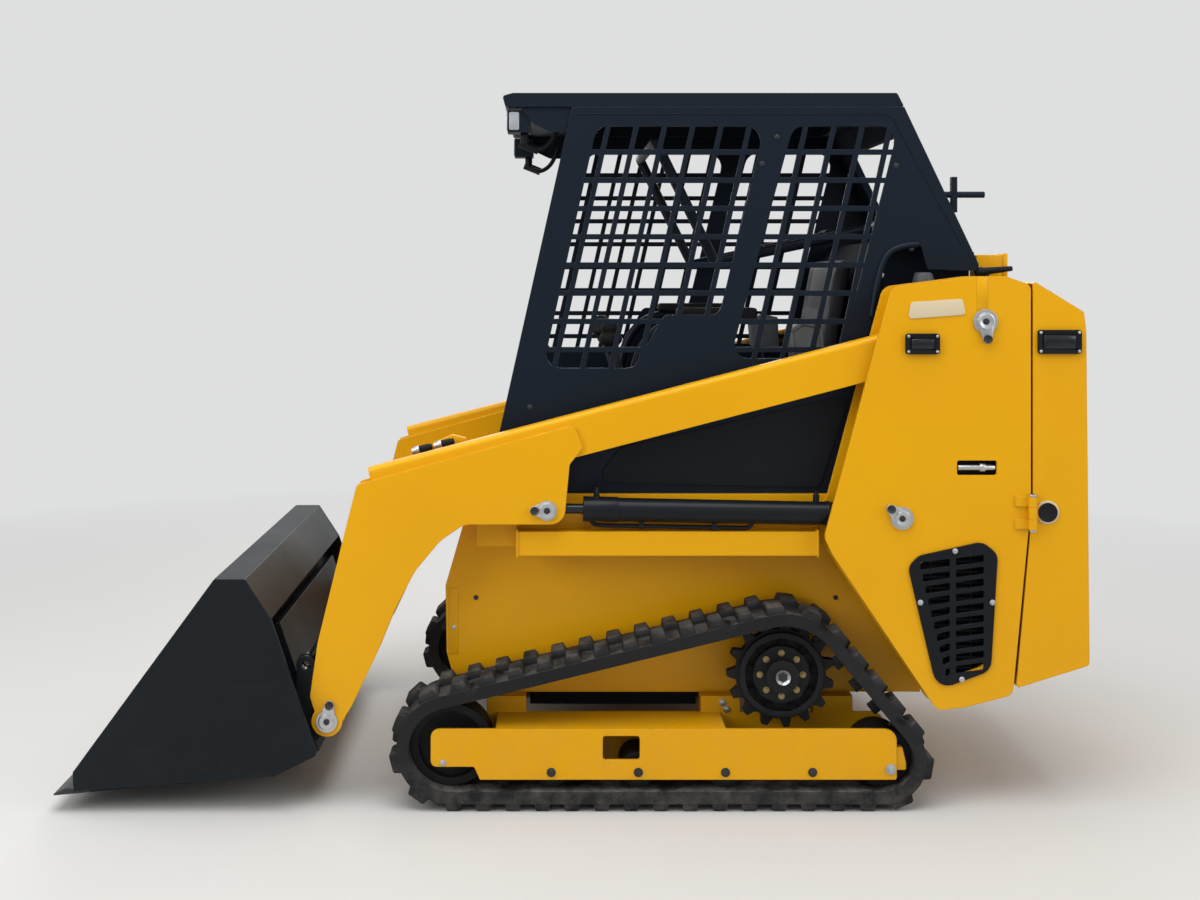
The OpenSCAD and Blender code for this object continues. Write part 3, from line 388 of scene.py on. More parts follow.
# one dictionary per finish: colours are linear, lengths in metres
finishTable = {
    "yellowPaint": {"colour": (0.745, 0.368, 0.0022), "shade": (0.70, 0.335, 0.0020), "rough": (0.30, 0.42),
                    "coat": 0.06, "spec": 0.16, "edge": 0.0035, "edgeColour": (0.84, 0.50, 0.06),
                    "edgeAmount": 0.6, "peel": 220.0, "bump": 0.02, "dust": 0.3, "dustReach": 0.6,
                    "scuff": 0.06},
    "cabBlack": {"colour": (0.0046, 0.0096, 0.0180), "shade": (0.0038, 0.0080, 0.0152), "rough": (0.36, 0.48),
                 "coat": 0.0, "spec": 0.16, "edge": 0.003, "edgeColour": (0.045, 0.055, 0.07),
                 "edgeAmount": 0.5, "peel": 420.0, "bump": 0.05, "dust": 0.08, "dustReach": 0.4,
                 "scuff": 0.05},
    "bucketBlack": {"colour": (0.0088, 0.0118, 0.0142), "shade": (0.0068, 0.0092, 0.0112),
                    "rough": (0.36, 0.52),
                    "coat": 0.0, "spec": 0.13, "edge": 0.004, "edgeColour": (0.07, 0.072, 0.076),
                    "edgeAmount": 0.6, "peel": 300.0, "bump": 0.05, "dust": 0.1, "dustReach": 0.35,
                    "scuff": 0.25},
    "cylinderBlack": {"colour": (0.0052, 0.0072, 0.0105), "shade": (0.0044, 0.0062, 0.0092),
                      "rough": (0.26, 0.36),
                      "coat": 0.0, "spec": 0.2, "edge": 0.002, "edgeColour": (0.05, 0.052, 0.056),
                      "edgeAmount": 0.4, "peel": 400.0, "bump": 0.02, "dust": 0.06, "dustReach": 0.4,
                      "scuff": 0.05},
    "panelBlack": {"colour": (0.0062, 0.0080, 0.0108), "shade": (0.0050, 0.0066, 0.0090),
                   "rough": (0.42, 0.56),
                   "coat": 0.0, "spec": 0.15, "edge": 0.003, "edgeColour": (0.035, 0.04, 0.046),
                   "edgeAmount": 0.4, "peel": 520.0, "bump": 0.08, "dust": 0.1, "dustReach": 0.5,
                   "scuff": 0.05},
    "trackRubber": {"colour": (0.0190, 0.0190, 0.0200), "shade": (0.0130, 0.0131, 0.0140),
                    "rough": (0.62, 0.84),
                    "coat": 0.0, "spec": 0.15, "edge": 0.004, "edgeColour": (0.045, 0.043, 0.042),
                    "edgeAmount": 0.5, "peel": 160.0, "bump": 0.22, "dust": 1.5, "dustReach": 0.2,
                    "dustLift": 0.9, "scuff": 0.25},
    "softRubber": {"colour": (0.0095, 0.0100, 0.0110), "shade": (0.0070, 0.0074, 0.0080),
                   "rough": (0.55, 0.72),
                   "coat": 0.0, "spec": 0.18, "edge": 0.002, "edgeColour": (0.03, 0.03, 0.032),
                   "edgeAmount": 0.3, "peel": 500.0, "bump": 0.08, "dust": 0.15, "dustReach": 0.7,
                   "scuff": 0.1},
    "castIron": {"colour": (0.0085, 0.0088, 0.0100), "shade": (0.0060, 0.0063, 0.0072), "rough": (0.48, 0.66),
                 "coat": 0.0, "spec": 0.2, "edge": 0.003, "edgeColour": (0.07, 0.07, 0.07),
                 "edgeAmount": 0.6, "peel": 180.0, "bump": 0.16, "dust": 0.15, "dustReach": 0.6,
                 "scuff": 0.2},
    "wornSteel": {"colour": (0.020, 0.022, 0.026), "shade": (0.045, 0.046, 0.049), "rough": (0.36, 0.52),
                  "coat": 0.0, "spec": 0.3, "metal": 0.4, "edge": 0.006, "edgeColour": (0.16, 0.16, 0.16),
                  "edgeAmount": 0.8, "peel": 140.0, "bump": 0.06, "dust": 0.3, "dustReach": 0.4,
                  "scuff": 0.6},
    "zincSteel": {"colour": (0.56, 0.57, 0.58), "shade": (0.40, 0.41, 0.43), "rough": (0.24, 0.42),
                  "coat": 0.0, "metal": 0.9, "edge": 0.0015, "edgeColour": (0.7, 0.7, 0.7), "edgeAmount": 0.4,
                  "peel": 320.0, "bump": 0.03, "dust": 0.1, "dustReach": 0.6, "scuff": 0.25},
    "brassZinc": {"colour": (0.34, 0.25, 0.10), "shade": (0.26, 0.19, 0.08), "rough": (0.3, 0.46),
                  "coat": 0.0, "metal": 0.85, "edge": 0.0012, "edgeColour": (0.5, 0.4, 0.22),
                  "edgeAmount": 0.4,
                  "peel": 320.0, "bump": 0.03, "dust": 0.2, "dustReach": 0.6, "scuff": 0.2},
    "darkRod": {"colour": (0.030, 0.032, 0.036), "shade": (0.024, 0.026, 0.030), "rough": (0.14, 0.22),
                "coat": 0.0, "spec": 0.4, "metal": 0.6, "edge": 0.001, "edgeColour": (0.12, 0.12, 0.12),
                "edgeAmount": 0.2, "peel": 500.0, "bump": 0.005, "dust": 0.1, "dustReach": 0.5, "scuff": 0.1},
    "boltSteel": {"colour": (0.045, 0.046, 0.05), "shade": (0.03, 0.031, 0.034), "rough": (0.34, 0.5),
                  "coat": 0.0, "spec": 0.3, "metal": 0.5, "edge": 0.001, "edgeColour": (0.18, 0.18, 0.18),
                  "edgeAmount": 0.5, "peel": 500.0, "bump": 0.03, "dust": 0.2, "dustReach": 0.6,
                  "scuff": 0.2},
    # matte near-black used as painted shade: under the hull, in the sprocket holes and behind the tower
    # grilles
    "paintedShadeBlack": {"colour": (0.0035, 0.0038, 0.0045), "shade": (0.0030, 0.0033, 0.0040), "rough": (0.6, 0.8),
                  "coat": 0.0, "spec": 0.08, "edge": 0.001, "edgeColour": (0.01, 0.01, 0.012),
                  "edgeAmount": 0.2, "peel": 300.0, "bump": 0.05, "dust": 0.05, "dustReach": 0.4,
                  "scuff": 0.05},
    "greyPlastic": {"colour": (0.070, 0.076, 0.086), "shade": (0.052, 0.057, 0.065), "rough": (0.42, 0.56),
                    "coat": 0.0, "spec": 0.3, "edge": 0.002, "edgeColour": (0.14, 0.145, 0.155),
                    "edgeAmount": 0.4, "peel": 500.0, "bump": 0.05, "dust": 0.1, "dustReach": 0.6,
                    "scuff": 0.1},
    "boxGrey": {"colour": (0.16, 0.17, 0.185), "shade": (0.12, 0.13, 0.145), "rough": (0.42, 0.56),
                "coat": 0.0, "spec": 0.3, "edge": 0.002, "edgeColour": (0.24, 0.25, 0.26),
                "edgeAmount": 0.4, "peel": 500.0, "bump": 0.05, "dust": 0.1, "dustReach": 0.6, "scuff": 0.1},
    "cabInner": {"colour": (0.0046, 0.0090, 0.0160), "shade": (0.0038, 0.0076, 0.0138), "rough": (0.68, 0.80),
                 "coat": 0.0, "spec": 0.08, "edge": 0.003, "edgeColour": (0.045, 0.055, 0.07),
                 "edgeAmount": 0.5, "peel": 420.0, "bump": 0.05, "dust": 0.04, "dustReach": 0.4,
                 "scuff": 0.05},
    "creamReflector": {"colour": (0.66, 0.56, 0.38), "shade": (0.60, 0.50, 0.33), "rough": (0.28, 0.4),
                       "coat": 0.2, "spec": 0.3, "edge": 0.001, "edgeColour": (0.72, 0.62, 0.42),
                       "edgeAmount": 0.3, "peel": 900.0, "bump": 0.10, "dust": 0.1, "dustReach": 0.5,
                       "scuff": 0.05},
    "smokedLens": {"colour": (0.0070, 0.0082, 0.0115), "shade": (0.010, 0.0115, 0.015), "rough": (0.10, 0.16),
                   "coat": 0.2, "spec": 0.3, "edge": 0.001, "edgeColour": (0.03, 0.03, 0.034),
                   "edgeAmount": 0.2, "peel": 700.0, "bump": 0.01, "dust": 0.05, "dustReach": 0.5,
                   "scuff": 0.05},
    "lampGlass": {"colour": (0.45, 0.47, 0.50), "shade": (0.34, 0.36, 0.39), "rough": (0.06, 0.12),
                  "coat": 0.5, "spec": 0.5, "metal": 0.3, "edge": 0.001, "edgeColour": (0.7, 0.7, 0.7),
                  "edgeAmount": 0.2, "peel": 240.0, "bump": 0.12, "dust": 0.05, "dustReach": 0.5,
                  "scuff": 0.05},
    "engineGrey": {"colour": (0.035, 0.037, 0.04), "shade": (0.024, 0.025, 0.027), "rough": (0.5, 0.7),
                   "coat": 0.0, "spec": 0.25, "metal": 0.2, "edge": 0.004, "edgeColour": (0.1, 0.1, 0.1),
                   "edgeAmount": 0.4, "peel": 120.0, "bump": 0.12, "dust": 0.3, "dustReach": 1.0,
                   "scuff": 0.2},
}
dustColour = (0.175, 0.166, 0.152)


def makeFinish(name, look):
    material = bpy.data.materials.new(name)
    material.use_nodes = True
    tree = material.node_tree
    bsdf = tree.nodes["Principled BSDF"]
    grain = useGroup(tree, "paintGrain", Peel=look["peel"])
    wear = useGroup(tree, "edgeWear", Radius=look["edge"])
    dust = useGroup(tree, "dustFilm", Reach=look["dustReach"], Lift=look.get("dustLift", 0.25))
    scuff = useGroup(tree, "scuffs")
    colour = mixColour(tree, grain.outputs["Tone"], look["colour"], look["shade"])
    colour = mixColour(tree, math2(tree, "MULTIPLY", scuff.outputs["Mask"], look["scuff"] * 0.5), colour,
                       look["edgeColour"])
    colour = mixColour(tree, math2(tree, "MULTIPLY", wear.outputs["Mask"], look["edgeAmount"]), colour,
                       look["edgeColour"])
    dusty = math2(tree, "MULTIPLY", dust.outputs["Mask"], look["dust"] * 0.5)
    colour = mixColour(tree, dusty, colour, dustColour)
    wire(tree, colour, bsdf.inputs["Base Color"])
    low, high = look["rough"]
    rough = math2(tree, "MULTIPLY_ADD", grain.outputs["Tone"], high - low)
    rough.node.inputs[2].default_value = low
    rough = math2(tree, "ADD", rough, math2(tree, "MULTIPLY", dusty, 0.35), True)
    wire(tree, rough, bsdf.inputs["Roughness"])
    bsdf.inputs["Metallic"].default_value = look.get("metal", 0.0)
    bsdf.inputs["Specular IOR Level"].default_value = look.get("spec", 0.4)
    bsdf.inputs["Coat Weight"].default_value = look["coat"]
    bsdf.inputs["Coat Roughness"].default_value = 0.12
    bump = put(tree, "Bump", Strength=look["bump"], Distance=0.002)
    wire(tree, grain.outputs["Height"], bump.inputs["Height"])
    wire(tree, wear.outputs["Normal"], bump.inputs["Normal"])
    wire(tree, bump.outputs["Normal"], bsdf.inputs["Normal"])
    return material


finishes = {name: makeFinish(name, look) for name, look in finishTable.items()}

vinylLook = {"colour": (0.034, 0.036, 0.041), "shade": (0.024, 0.026, 0.030), "scale": 420.0, "bump": 0.35}


def makeVinyl(look):
    material = bpy.data.materials.new("seatVinyl")
    material.use_nodes = True
    tree = material.node_tree
    bsdf = tree.nodes["Principled BSDF"]
    pebble = useGroup(tree, "pebble", Scale=look["scale"])
    tone = useGroup(tree, "paintGrain", Peel=90.0, Cloud=6.0)
    colour = mixColour(tree, tone.outputs["Tone"], look["colour"], look["shade"])
    wire(tree, colour, bsdf.inputs["Base Color"])
    wire(tree, ramp(tree, pebble.outputs["Height"], -0.6, 1.4), bsdf.inputs["Roughness"])
    bsdf.inputs["Specular IOR Level"].default_value = 0.25
    bsdf.inputs["Sheen Weight"].default_value = 0.05
    bump = put(tree, "Bump", Strength=look["bump"], Distance=0.001)
    wire(tree, pebble.outputs["Height"], bump.inputs["Height"])
    wire(tree, bump.outputs["Normal"], bsdf.inputs["Normal"])
    return material


finishes["seatVinyl"] = makeVinyl(vinylLook)

# finish of each node that keeps its own shape
nodeFinish = {
    "yellowPaint": ["chassis_tub", "step_rails", "track_frames", "tower_left", "tower_right", "hood",
                    "arm_left", "arm_right", "arm_crossmember", "tailgate"],
    # belly_guard is a black plate under the hull: painted shade for the shadowed gap below the belly, also
    # standing for the dark hoses there
    "paintedShadeBlack": ["belly_guard"],
    "cabBlack": ["cab_side_left", "cab_side_right", "cab_roof", "cab_front", "work_lamps", "rear_handle",
                 "lap_bar"],
    "cabInner": ["cab_rear", "cab_floor"],
    "bucketBlack": ["coupler", "bucket_shell"],
    "cylinderBlack": ["lift_barrels", "tilt_barrels"],
    "wornSteel": ["cutting_edge"],
    "panelBlack": ["cab_lower_panels", "tower_grilles", "control_levers", "seat_base"],
    "castIron": ["front_idlers", "rear_idlers", "track_rollers", "sprockets", "drive_motors"],
    "engineGrey": ["engine_block"],
    "zincSteel": ["pivot_pins", "arm_pins"],
    "darkRod": ["lift_rods", "tilt_rods"],
}
for finish, names in nodeFinish.items():
    for name in names:
        mesh = nodes[name].data
        mesh.materials.clear()
        mesh.materials.append(finishes[finish])
print("finishes assigned")

# camera at the photograph's place, looking straight at the machine's left side
cameraLook = {"place": (0.066, 4.355, 1.440), "lens": 41.88, "shift": (0.0425, -0.1442)}
bpy.ops.object.camera_add(location=cameraLook["place"], rotation=(math.pi / 2, 0, math.pi))
camera = bpy.context.active_object
camera.name = "photoCamera"
camera.data.sensor_width = 36.0
camera.data.lens = cameraLook["lens"]
camera.data.shift_x, camera.data.shift_y = cameraLook["shift"]
camera.data.dof.use_dof = False
bpy.context.scene.camera = camera

# stage, world and lamps
stageLook = {"size": 90.0, "floor": (0.60, 0.595, 0.58), "sky": (0.92, 0.925, 0.93), "skyLight": 0.55,
             "skySeen": 0.80, "fade": (1.8, 5.5)}
lampTable = {
    "lampTop": {"place": (0.3, 1.4, 5.2), "aim": (-0.1, 0.2, 0.8), "size": 5.0, "power": 215.0},
    "lampFront": {"place": (4.2, 3.6, 3.0), "aim": (0.2, 0.2, 0.7), "size": 3.0, "power": 104.0},
    "lampRear": {"place": (-4.4, 2.8, 2.6), "aim": (-0.6, 0.0, 0.9), "size": 3.0, "power": 62.0},
    "lampFar": {"place": (-0.5, -4.6, 3.4), "aim": (0.0, 0.0, 0.9), "size": 4.0, "power": 105.0},
}
deselect()
bpy.ops.mesh.primitive_plane_add(size=stageLook["size"], location=(0, 0, -0.0005))
floor = bpy.context.active_object
floor.name = "studioFloor"
floorFinish = bpy.data.materials.new("floorPale")
floorFinish.use_nodes = True
floorTree = floorFinish.node_tree
floorTone = noise(floorTree, put(floorTree, "TexCoord").outputs["Object"], 3.0, 6.0)
floorShader = floorTree.nodes["Principled BSDF"]
floorShade = tuple(c * 0.97 for c in stageLook["floor"])
wire(floorTree, mixColour(floorTree, floorTone, stageLook["floor"], floorShade),
     floorShader.inputs["Base Color"])
floorShader.inputs["Roughness"].default_value = 0.8
floorShader.inputs["Specular IOR Level"].default_value = 0.15
# far from the machine the floor takes on the backdrop's colour, so that no horizon shows
reach = put(floorTree, "VectorMath", operation="LENGTH")
wire(floorTree, put(floorTree, "TexCoord").outputs["Object"], reach.inputs[0])
away = math2(floorTree, "MULTIPLY", ramp(floorTree, reach.outputs["Value"], *stageLook["fade"]),
             put(floorTree, "LightPath").outputs["Is Camera Ray"])
backdrop = put(floorTree, "Emission", Strength=stageLook["skySeen"])
backdrop.inputs["Color"].default_value = (*stageLook["sky"], 1)
blendNode = put(floorTree, "MixShader")
wire(floorTree, away, blendNode.inputs[0])
wire(floorTree, floorShader.outputs[0], blendNode.inputs[1])
wire(floorTree, backdrop.outputs[0], blendNode.inputs[2])
wire(floorTree, blendNode.outputs[0], floorTree.nodes["Material Output"].inputs["Surface"])
floor.data.materials.append(floorFinish)

world = bpy.data.worlds.new("studioSky")
bpy.context.scene.world = world
world.use_nodes = True
sky = world.node_tree
skyNode = sky.nodes["Background"]
skyNode.inputs["Color"].default_value = (*stageLook["sky"], 1)
rays = put(sky, "LightPath")
seen = math2(sky, "MAXIMUM", rays.outputs["Is Camera Ray"],
             math2(sky, "MAXIMUM", rays.outputs["Is Glossy Ray"], rays.outputs["Is Transmission Ray"]))
level = math2(sky, "MULTIPLY_ADD", seen, stageLook["skySeen"] - stageLook["skyLight"])
level.node.inputs[2].default_value = stageLook["skyLight"]
wire(sky, level, skyNode.inputs["Strength"])

for name, look in lampTable.items():
    deselect()
    turn = (Vector(look["aim"]) - Vector(look["place"])).to_track_quat("-Z", "Y").to_euler()
    bpy.ops.object.light_add(type="AREA", location=look["place"], rotation=turn)
    lamp = bpy.context.active_object
    lamp.name = name
    lamp.data.shape = "DISK"
    lamp.data.size = look["size"]
    lamp.data.energy = look["power"]
bpy.context.scene.view_settings.view_transform = "Standard"
print("camera, stage and lamps set")

# tracks: one shoe is modelled, repeated and bent round the wheels
trackLook = {"wheels": [(0.332, 0.167, 0.112), (-0.571, 0.350, 0.149), (-0.838, 0.135, 0.080)],
             "middle": 0.510, "width": 0.180, "belt": 0.034, "lug": 0.021, "shoes": 39, "chords": 14,
             "rows": [(-0.0455, 0.0), (0.0455, 0.5)], "rowWidth": 0.086, "lugLength": 0.047,
             "guide": (0.050, 0.022)}


def beltPath(look, height):
    wheels = look["wheels"]
    count = len(wheels)
    normals = []
    for i in range(count):
        (ax, az, ar), (bx, bz, br) = wheels[i], wheels[(i + 1) % count]
        run = Vector((bx - ax, bz - az))
        u = run.normalized()
        s = (br - ar) / run.length
        n = Vector((u.y, -u.x)) * math.sqrt(1 - s * s) - u * s
        normals.append(math.atan2(n.y, n.x))
    points = []
    for i, (x, z, r) in enumerate(wheels):
        first, last = normals[i - 1], normals[i]
        while last < first:
            last += 2 * math.pi
        for k in range(look["chords"] + 1):
            a = first + (last - first) * k / look["chords"]
            points.append(Vector((x + (r + height) * math.cos(a), z + (r + height) * math.sin(a))))
    return points[::-1]


def makeShoe(look, pitch):
    parts = []
    belt = addBlock((0, 0.0005, -look["width"] / 2), (pitch, look["belt"], look["width"] / 2))
    edit(belt)
    bpy.ops.mesh.subdivide(number_cuts=3)
    leaveEdit()
    parts.append(belt)
    for z, phase in look["rows"]:
        start = (0.12 + phase) % 1 * pitch
        lug = addBlock((start, look["belt"] - 0.002, z - look["rowWidth"] / 2),
                       (start + look["lugLength"], look["belt"] + look["lug"], z + look["rowWidth"] / 2))
        pick(lug, lambda f: f.normal.y > 0.9)
        bpy.ops.transform.resize(value=(0.72, 1, 0.9), center_override=(start + look["lugLength"] / 2,
                                                                       look["belt"] + look["lug"], z))
        leaveEdit()
        softEdges(lug, 0.0035, 2, 30)
        parts.append(lug)
    wide, tall = look["guide"]
    guide = addBlock((0.3 * pitch, -tall, -0.008), (0.3 * pitch + wide * 0.7, 0.002, 0.008), 0.003)
    parts.append(guide)
    return join(parts)


def makeTrack(look, name, side, node):
    path = beltPath(look, 0.0)
    length = sum((path[i] - path[i - 1]).length for i in range(len(path)))
    pitch = length / look["shoes"]
    shoe = makeShoe(look, pitch)
    deselect()
    bpy.ops.curve.primitive_nurbs_path_add()
    guideCurve = bpy.context.active_object
    curve = guideCurve.data
    curve.splines.clear()
    spline = curve.splines.new("POLY")
    spline.points.add(len(path) - 1)
    for slot, p in zip(spline.points, path):
        slot.co = (p.x, p.y, 0, 1)
    spline.use_cyclic_u = True
    curve.dimensions = "2D"
    choose(shoe)
    array = shoe.modifiers.new("Repeat", "ARRAY")
    array.count = look["shoes"]
    array.use_relative_offset = False
    array.use_constant_offset = True
    array.constant_offset_displace = (pitch, 0, 0)
    bend = shoe.modifiers.new("Bend", "CURVE")
    bend.object = guideCurve
    bend.deform_axis = "POS_X"
    for label in ("Repeat", "Bend"):
        bpy.ops.object.modifier_apply(modifier=label)
    discard(guideCurve)
    shoe.rotation_euler = (math.pi / 2, 0, 0)
    shoe.location = (0, side * look["middle"], 0)
    applyPlace(shoe)
    edit(shoe)
    bpy.ops.mesh.remove_doubles(threshold=0.0003)
    leaveEdit()
    finishPiece(shoe, name, "trackRubber", "chassis", 35)
    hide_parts(node)


for label, side in sides.items():
    makeTrack(trackLook, "track" + label, side, "track_" + label.lower())
print("tracks made")

# bolts: a washer and a hexagon head, copied to each place
boltLook = {"washer": 1.45, "washerHeight": 0.25, "head": 0.65}


def makeBolt(radius, facing, look=boltLook):
    ring = addRound((0, 0, 0), (0, facing * radius * look["washerHeight"], 0), radius * look["washer"], 20)
    head = addRound((0, 0, 0), (0, facing * radius * (look["washerHeight"] + look["head"]), 0), radius, 6)
    softEdges(head, radius * 0.12, 2)
    return join([ring, head])


def boltSet(name, places, radius, facing, finish, body):
    first = makeBolt(radius, facing)
    copies = [copyOf(first, place) for place in places]
    discard(first)
    return finishPiece(join(copies), name, finish, body)


def boltRing(x, y, z, radius, count, first=0.0):
    return [(x + radius * math.cos(first + math.tau * i / count), y,
             z + radius * math.sin(first + math.tau * i / count)) for i in range(count)]


# pin heads: a keeper plate drawn out to its bolt, a washer and a dark end; tab direction in degrees
pinTable = {
    "armPivot": {"x": -1.115, "z": 1.3195, "face": 0.584, "radius": 0.0235, "tab": -95, "reach": 0.048,
                 "body": "chassis"},
    "liftBase": {"x": -0.889, "z": 0.787, "face": 0.584, "radius": 0.0225, "tab": 40, "reach": 0.040,
                 "body": "chassis"},
    "liftRod": {"x": 0.0715, "z": 0.805, "face": 0.566, "radius": 0.0235, "tab": 0, "reach": 0.034,
                "body": "arms"},
    "bucketHinge": {"x": 0.670, "z": 0.232, "face": 0.566, "radius": 0.0225, "tab": 100, "reach": 0.046,
                    "body": "arms"},
}


def dropOutline(x, z, big, small, reach, turn, steps=14):
    lean = math.acos((big - small) / reach)
    points = []
    for i in range(steps + 1):
        t = turn + lean + (math.tau - 2 * lean) * i / steps
        points.append((x + big * math.cos(t), z + big * math.sin(t)))
    cx, cz = x + reach * math.cos(turn), z + reach * math.sin(turn)
    for i in range(steps + 1):
        t = turn - lean + 2 * lean * i / steps
        points.append((cx + small * math.cos(t), cz + small * math.sin(t)))
    return points


pinFit = {"foot": {"chassis": 0.009, "arms": 0.006}, "over": 0.001, "tabGrow": 1.04, "tabEnd": 0.0125,
          "ring": 0.86, "ringHeight": 0.006, "ringInset": 0.42, "ringDepth": 0.005, "end": 0.36,
          "endHeight": 0.003,
          "collar": 0.0115, "collarHeight": 0.008, "collarInset": 0.005, "collarDepth": 0.004}


def makePinHead(name, look, side, fit=pinFit):
    x, z, r = look["x"], look["z"], look["radius"]
    turn = math.radians(look["tab"])
    foot = look["face"] - fit["foot"][look["body"]]
    top = look["face"] + fit["over"]
    seat = top - fit["over"]
    tab = addPlate(dropOutline(x, z, r * fit["tabGrow"], fit["tabEnd"], look["reach"], turn),
                   side * foot, side * top, 0.0015)
    ring = addRound((x, side * seat, z), (x, side * (top + fit["ringHeight"]), z), r * fit["ring"], 40)
    recess(ring, side, r * fit["ringInset"], fit["ringDepth"])
    softEdges(ring, 0.0012)
    finishPiece(join([tab, ring]), name, "zincSteel", look["body"])
    end = addRound((x, side * top, z), (x, side * (top + fit["endHeight"]), z), r * fit["end"], 24, 0.0008)
    bx, bz = x + look["reach"] * math.cos(turn), z + look["reach"] * math.sin(turn)
    collar = addRound((bx, side * seat, bz), (bx, side * (top + fit["collarHeight"]), bz), fit["collar"], 28)
    recess(collar, side, fit["collarInset"], fit["collarDepth"])
    softEdges(collar, 0.001)
    finishPiece(join([end, collar]), name + "Bolt", "boltSteel", look["body"])


for label, side in sides.items():
    for name, look in pinTable.items():
        makePinHead(name + label, look, side)
print("pin heads made")

# sprocket: bolt circle, lightening holes drawn as dark discs of painted shade, and hub ring
driveLook = {"x": -0.571, "z": 0.350, "hubFace": 0.554, "ringFace": 0.534, "flangeFace": 0.528, "hub": 0.020,
             "hubFoot": 0.004, "hubHeight": 0.010, "core": 0.0135, "coreHeight": 0.004,
             "bolts": 8, "bolt": 0.0062, "boltCircle": 0.059,
             "holes": 9, "holeCircle": 0.0905, "holeTurn": 0.2, "hole": 0.0125, "holeDepth": 0.004}
for label, side in sides.items():
    x, z = driveLook["x"], driveLook["z"]
    places = boltRing(x, side * driveLook["flangeFace"], z, driveLook["boltCircle"], driveLook["bolts"])
    boltSet("sprocketBolts" + label, places, driveLook["bolt"], side, "brassZinc", "chassis")
    # each hole is a recessed black disc: painted shade where the hole is dark inside
    holes = []
    depth = driveLook["holeDepth"]
    places = boltRing(x, side * driveLook["ringFace"], z, driveLook["holeCircle"], driveLook["holes"],
                      driveLook["holeTurn"])
    for hx, hy, hz in places:
        hole = addRound((hx, hy - side * depth, hz), (hx, hy + side * 0.0012, hz), driveLook["hole"], 24)
        holes.append(recess(hole, side, 0.0015, depth))
    finishPiece(join(holes), "sprocketHoles" + label, "paintedShadeBlack", "chassis")
    face = driveLook["hubFace"]
    hub = addRound((x, side * (face - driveLook["hubFoot"]), z),
                   (x, side * (face + driveLook["hubHeight"]), z),
                   driveLook["hub"], 36)
    recess(hub, side, 0.006, 0.008)
    softEdges(hub, 0.0012)
    finishPiece(hub, "hubRing" + label, "zincSteel", "chassis")
    core = addRound((x, side * face, z), (x, side * (face + driveLook["coreHeight"]), z), driveLook["core"],
                    6,
                    0.0008)
    finishPiece(core, "hubCore" + label, "boltSteel", "chassis")

# running gear: axle bolts along the frame, hub caps on the wheels, tensioner
gearLook = {"face": 0.590, "rollers": [0.060, -0.175, -0.410, -0.645], "rollerZ": 0.101,
            "cap": 0.031, "capFrom": 0.564, "capTo": 0.576, "capInset": 0.008, "capDepth": 0.004,
            "axleZ": 0.104, "axleBolt": 0.0085, "tail": (-0.856, 0.112), "tailBolt": 0.010,
            "idler": (0.352, 0.130), "idlerBolt": 0.006,
            "slide": [(-0.8715, 0.170), (-0.8715, 0.108), (-0.899, 0.108), (-0.899, 0.128), (-0.889, 0.170)],
            "slideFrom": 0.560, "slideTo": 0.584,
            "tongue": ((-0.8725, 0.576, 0.115), (-0.858, 0.5805, 0.150))}
for label, side in sides.items():
    face = side * gearLook["face"]
    places = [(x, face, gearLook["axleZ"]) for x in gearLook["rollers"]]
    boltSet("axleBolts" + label, places, gearLook["axleBolt"], side, "boltSteel", "chassis")
    for name in ("tail", "idler"):
        x, z = gearLook[name]
        boltSet(name + "Bolt" + label, [(x, face, z)], gearLook[name + "Bolt"], side, "zincSteel", "chassis")
    caps = []
    for x in gearLook["rollers"]:
        cap = addRound((x, side * gearLook["capFrom"], gearLook["rollerZ"]),
                       (x, side * gearLook["capTo"], gearLook["rollerZ"]), gearLook["cap"], 28)
        recess(cap, side, gearLook["capInset"], gearLook["capDepth"])
        caps.append(softEdges(cap, 0.0015))
    finishPiece(join(caps), "rollerCaps" + label, "castIron", "chassis")
    low, high = [(x, side * y, z) for x, y, z in gearLook["tongue"]]
    slide = join([addPlate(softOutline(gearLook["slide"], 0.004), side * gearLook["slideFrom"],
                           side * gearLook["slideTo"], 0.0015),
                  addBlock(low, high, 0.001)])
    finishPiece(slide, "tensionerSlide" + label, "yellowPaint", "chassis")
print("running gear dressed")

# lamps and reflectors on the towers and the tailgate
towerLampLook = {"low": (-0.990, 1.231), "high": (-0.898, 1.287), "face": 0.575, "depth": 0.012}
reflectorLook = {"outline": [(-0.914, 1.372), (-1.054, 1.381), (-1.063, 1.338), (-0.906, 1.326)],
                 "corner": 0.011, "face": 0.575, "depth": 0.003}
gateLampLook = {"low": (-1.374, 1.232), "high": (-1.256, 1.297), "face": 0.575, "depth": 0.010}
lampFit = {"corner": 0.008, "rim": 0.012, "rimDepth": 0.004, "lensIn": (0.015, 0.014), "lensCorner": 0.005,
           "lensFoot": 0.002, "lensGap": 0.001, "lensRim": 0.004, "lensRise": 0.002, "screw": 0.0028,
           "screwIn": 0.007}


def makeSideLamp(name, look, side, body, fit=lampFit):
    low, high = look["low"], look["high"]
    front = side * (look["face"] + look["depth"])
    case = addPlate(roundedOutline(low, high, fit["corner"]), side * look["face"], front)
    recess(case, side, fit["rim"], fit["rimDepth"])
    softEdges(case, 0.0012)
    finishPiece(case, name + "Case", "panelBlack", body)
    dx, dz = fit["lensIn"]
    lens = addPlate(roundedOutline((low[0] + dx, low[1] + dz), (high[0] - dx, high[1] - dz),
                                   fit["lensCorner"]),
                    side * (look["face"] + fit["lensFoot"]), front - side * fit["lensGap"])
    recess(lens, side, fit["lensRim"], -fit["lensRise"])
    finishPiece(softEdges(lens, 0.0015), name + "Lens", "smokedLens", body)
    d = fit["screwIn"]
    corners = [(x, front, z) for x in (low[0] + d, high[0] - d) for z in (low[1] + d, high[1] - d)]
    boltSet(name + "Screws", corners, fit["screw"], side, "zincSteel", body)
    return case


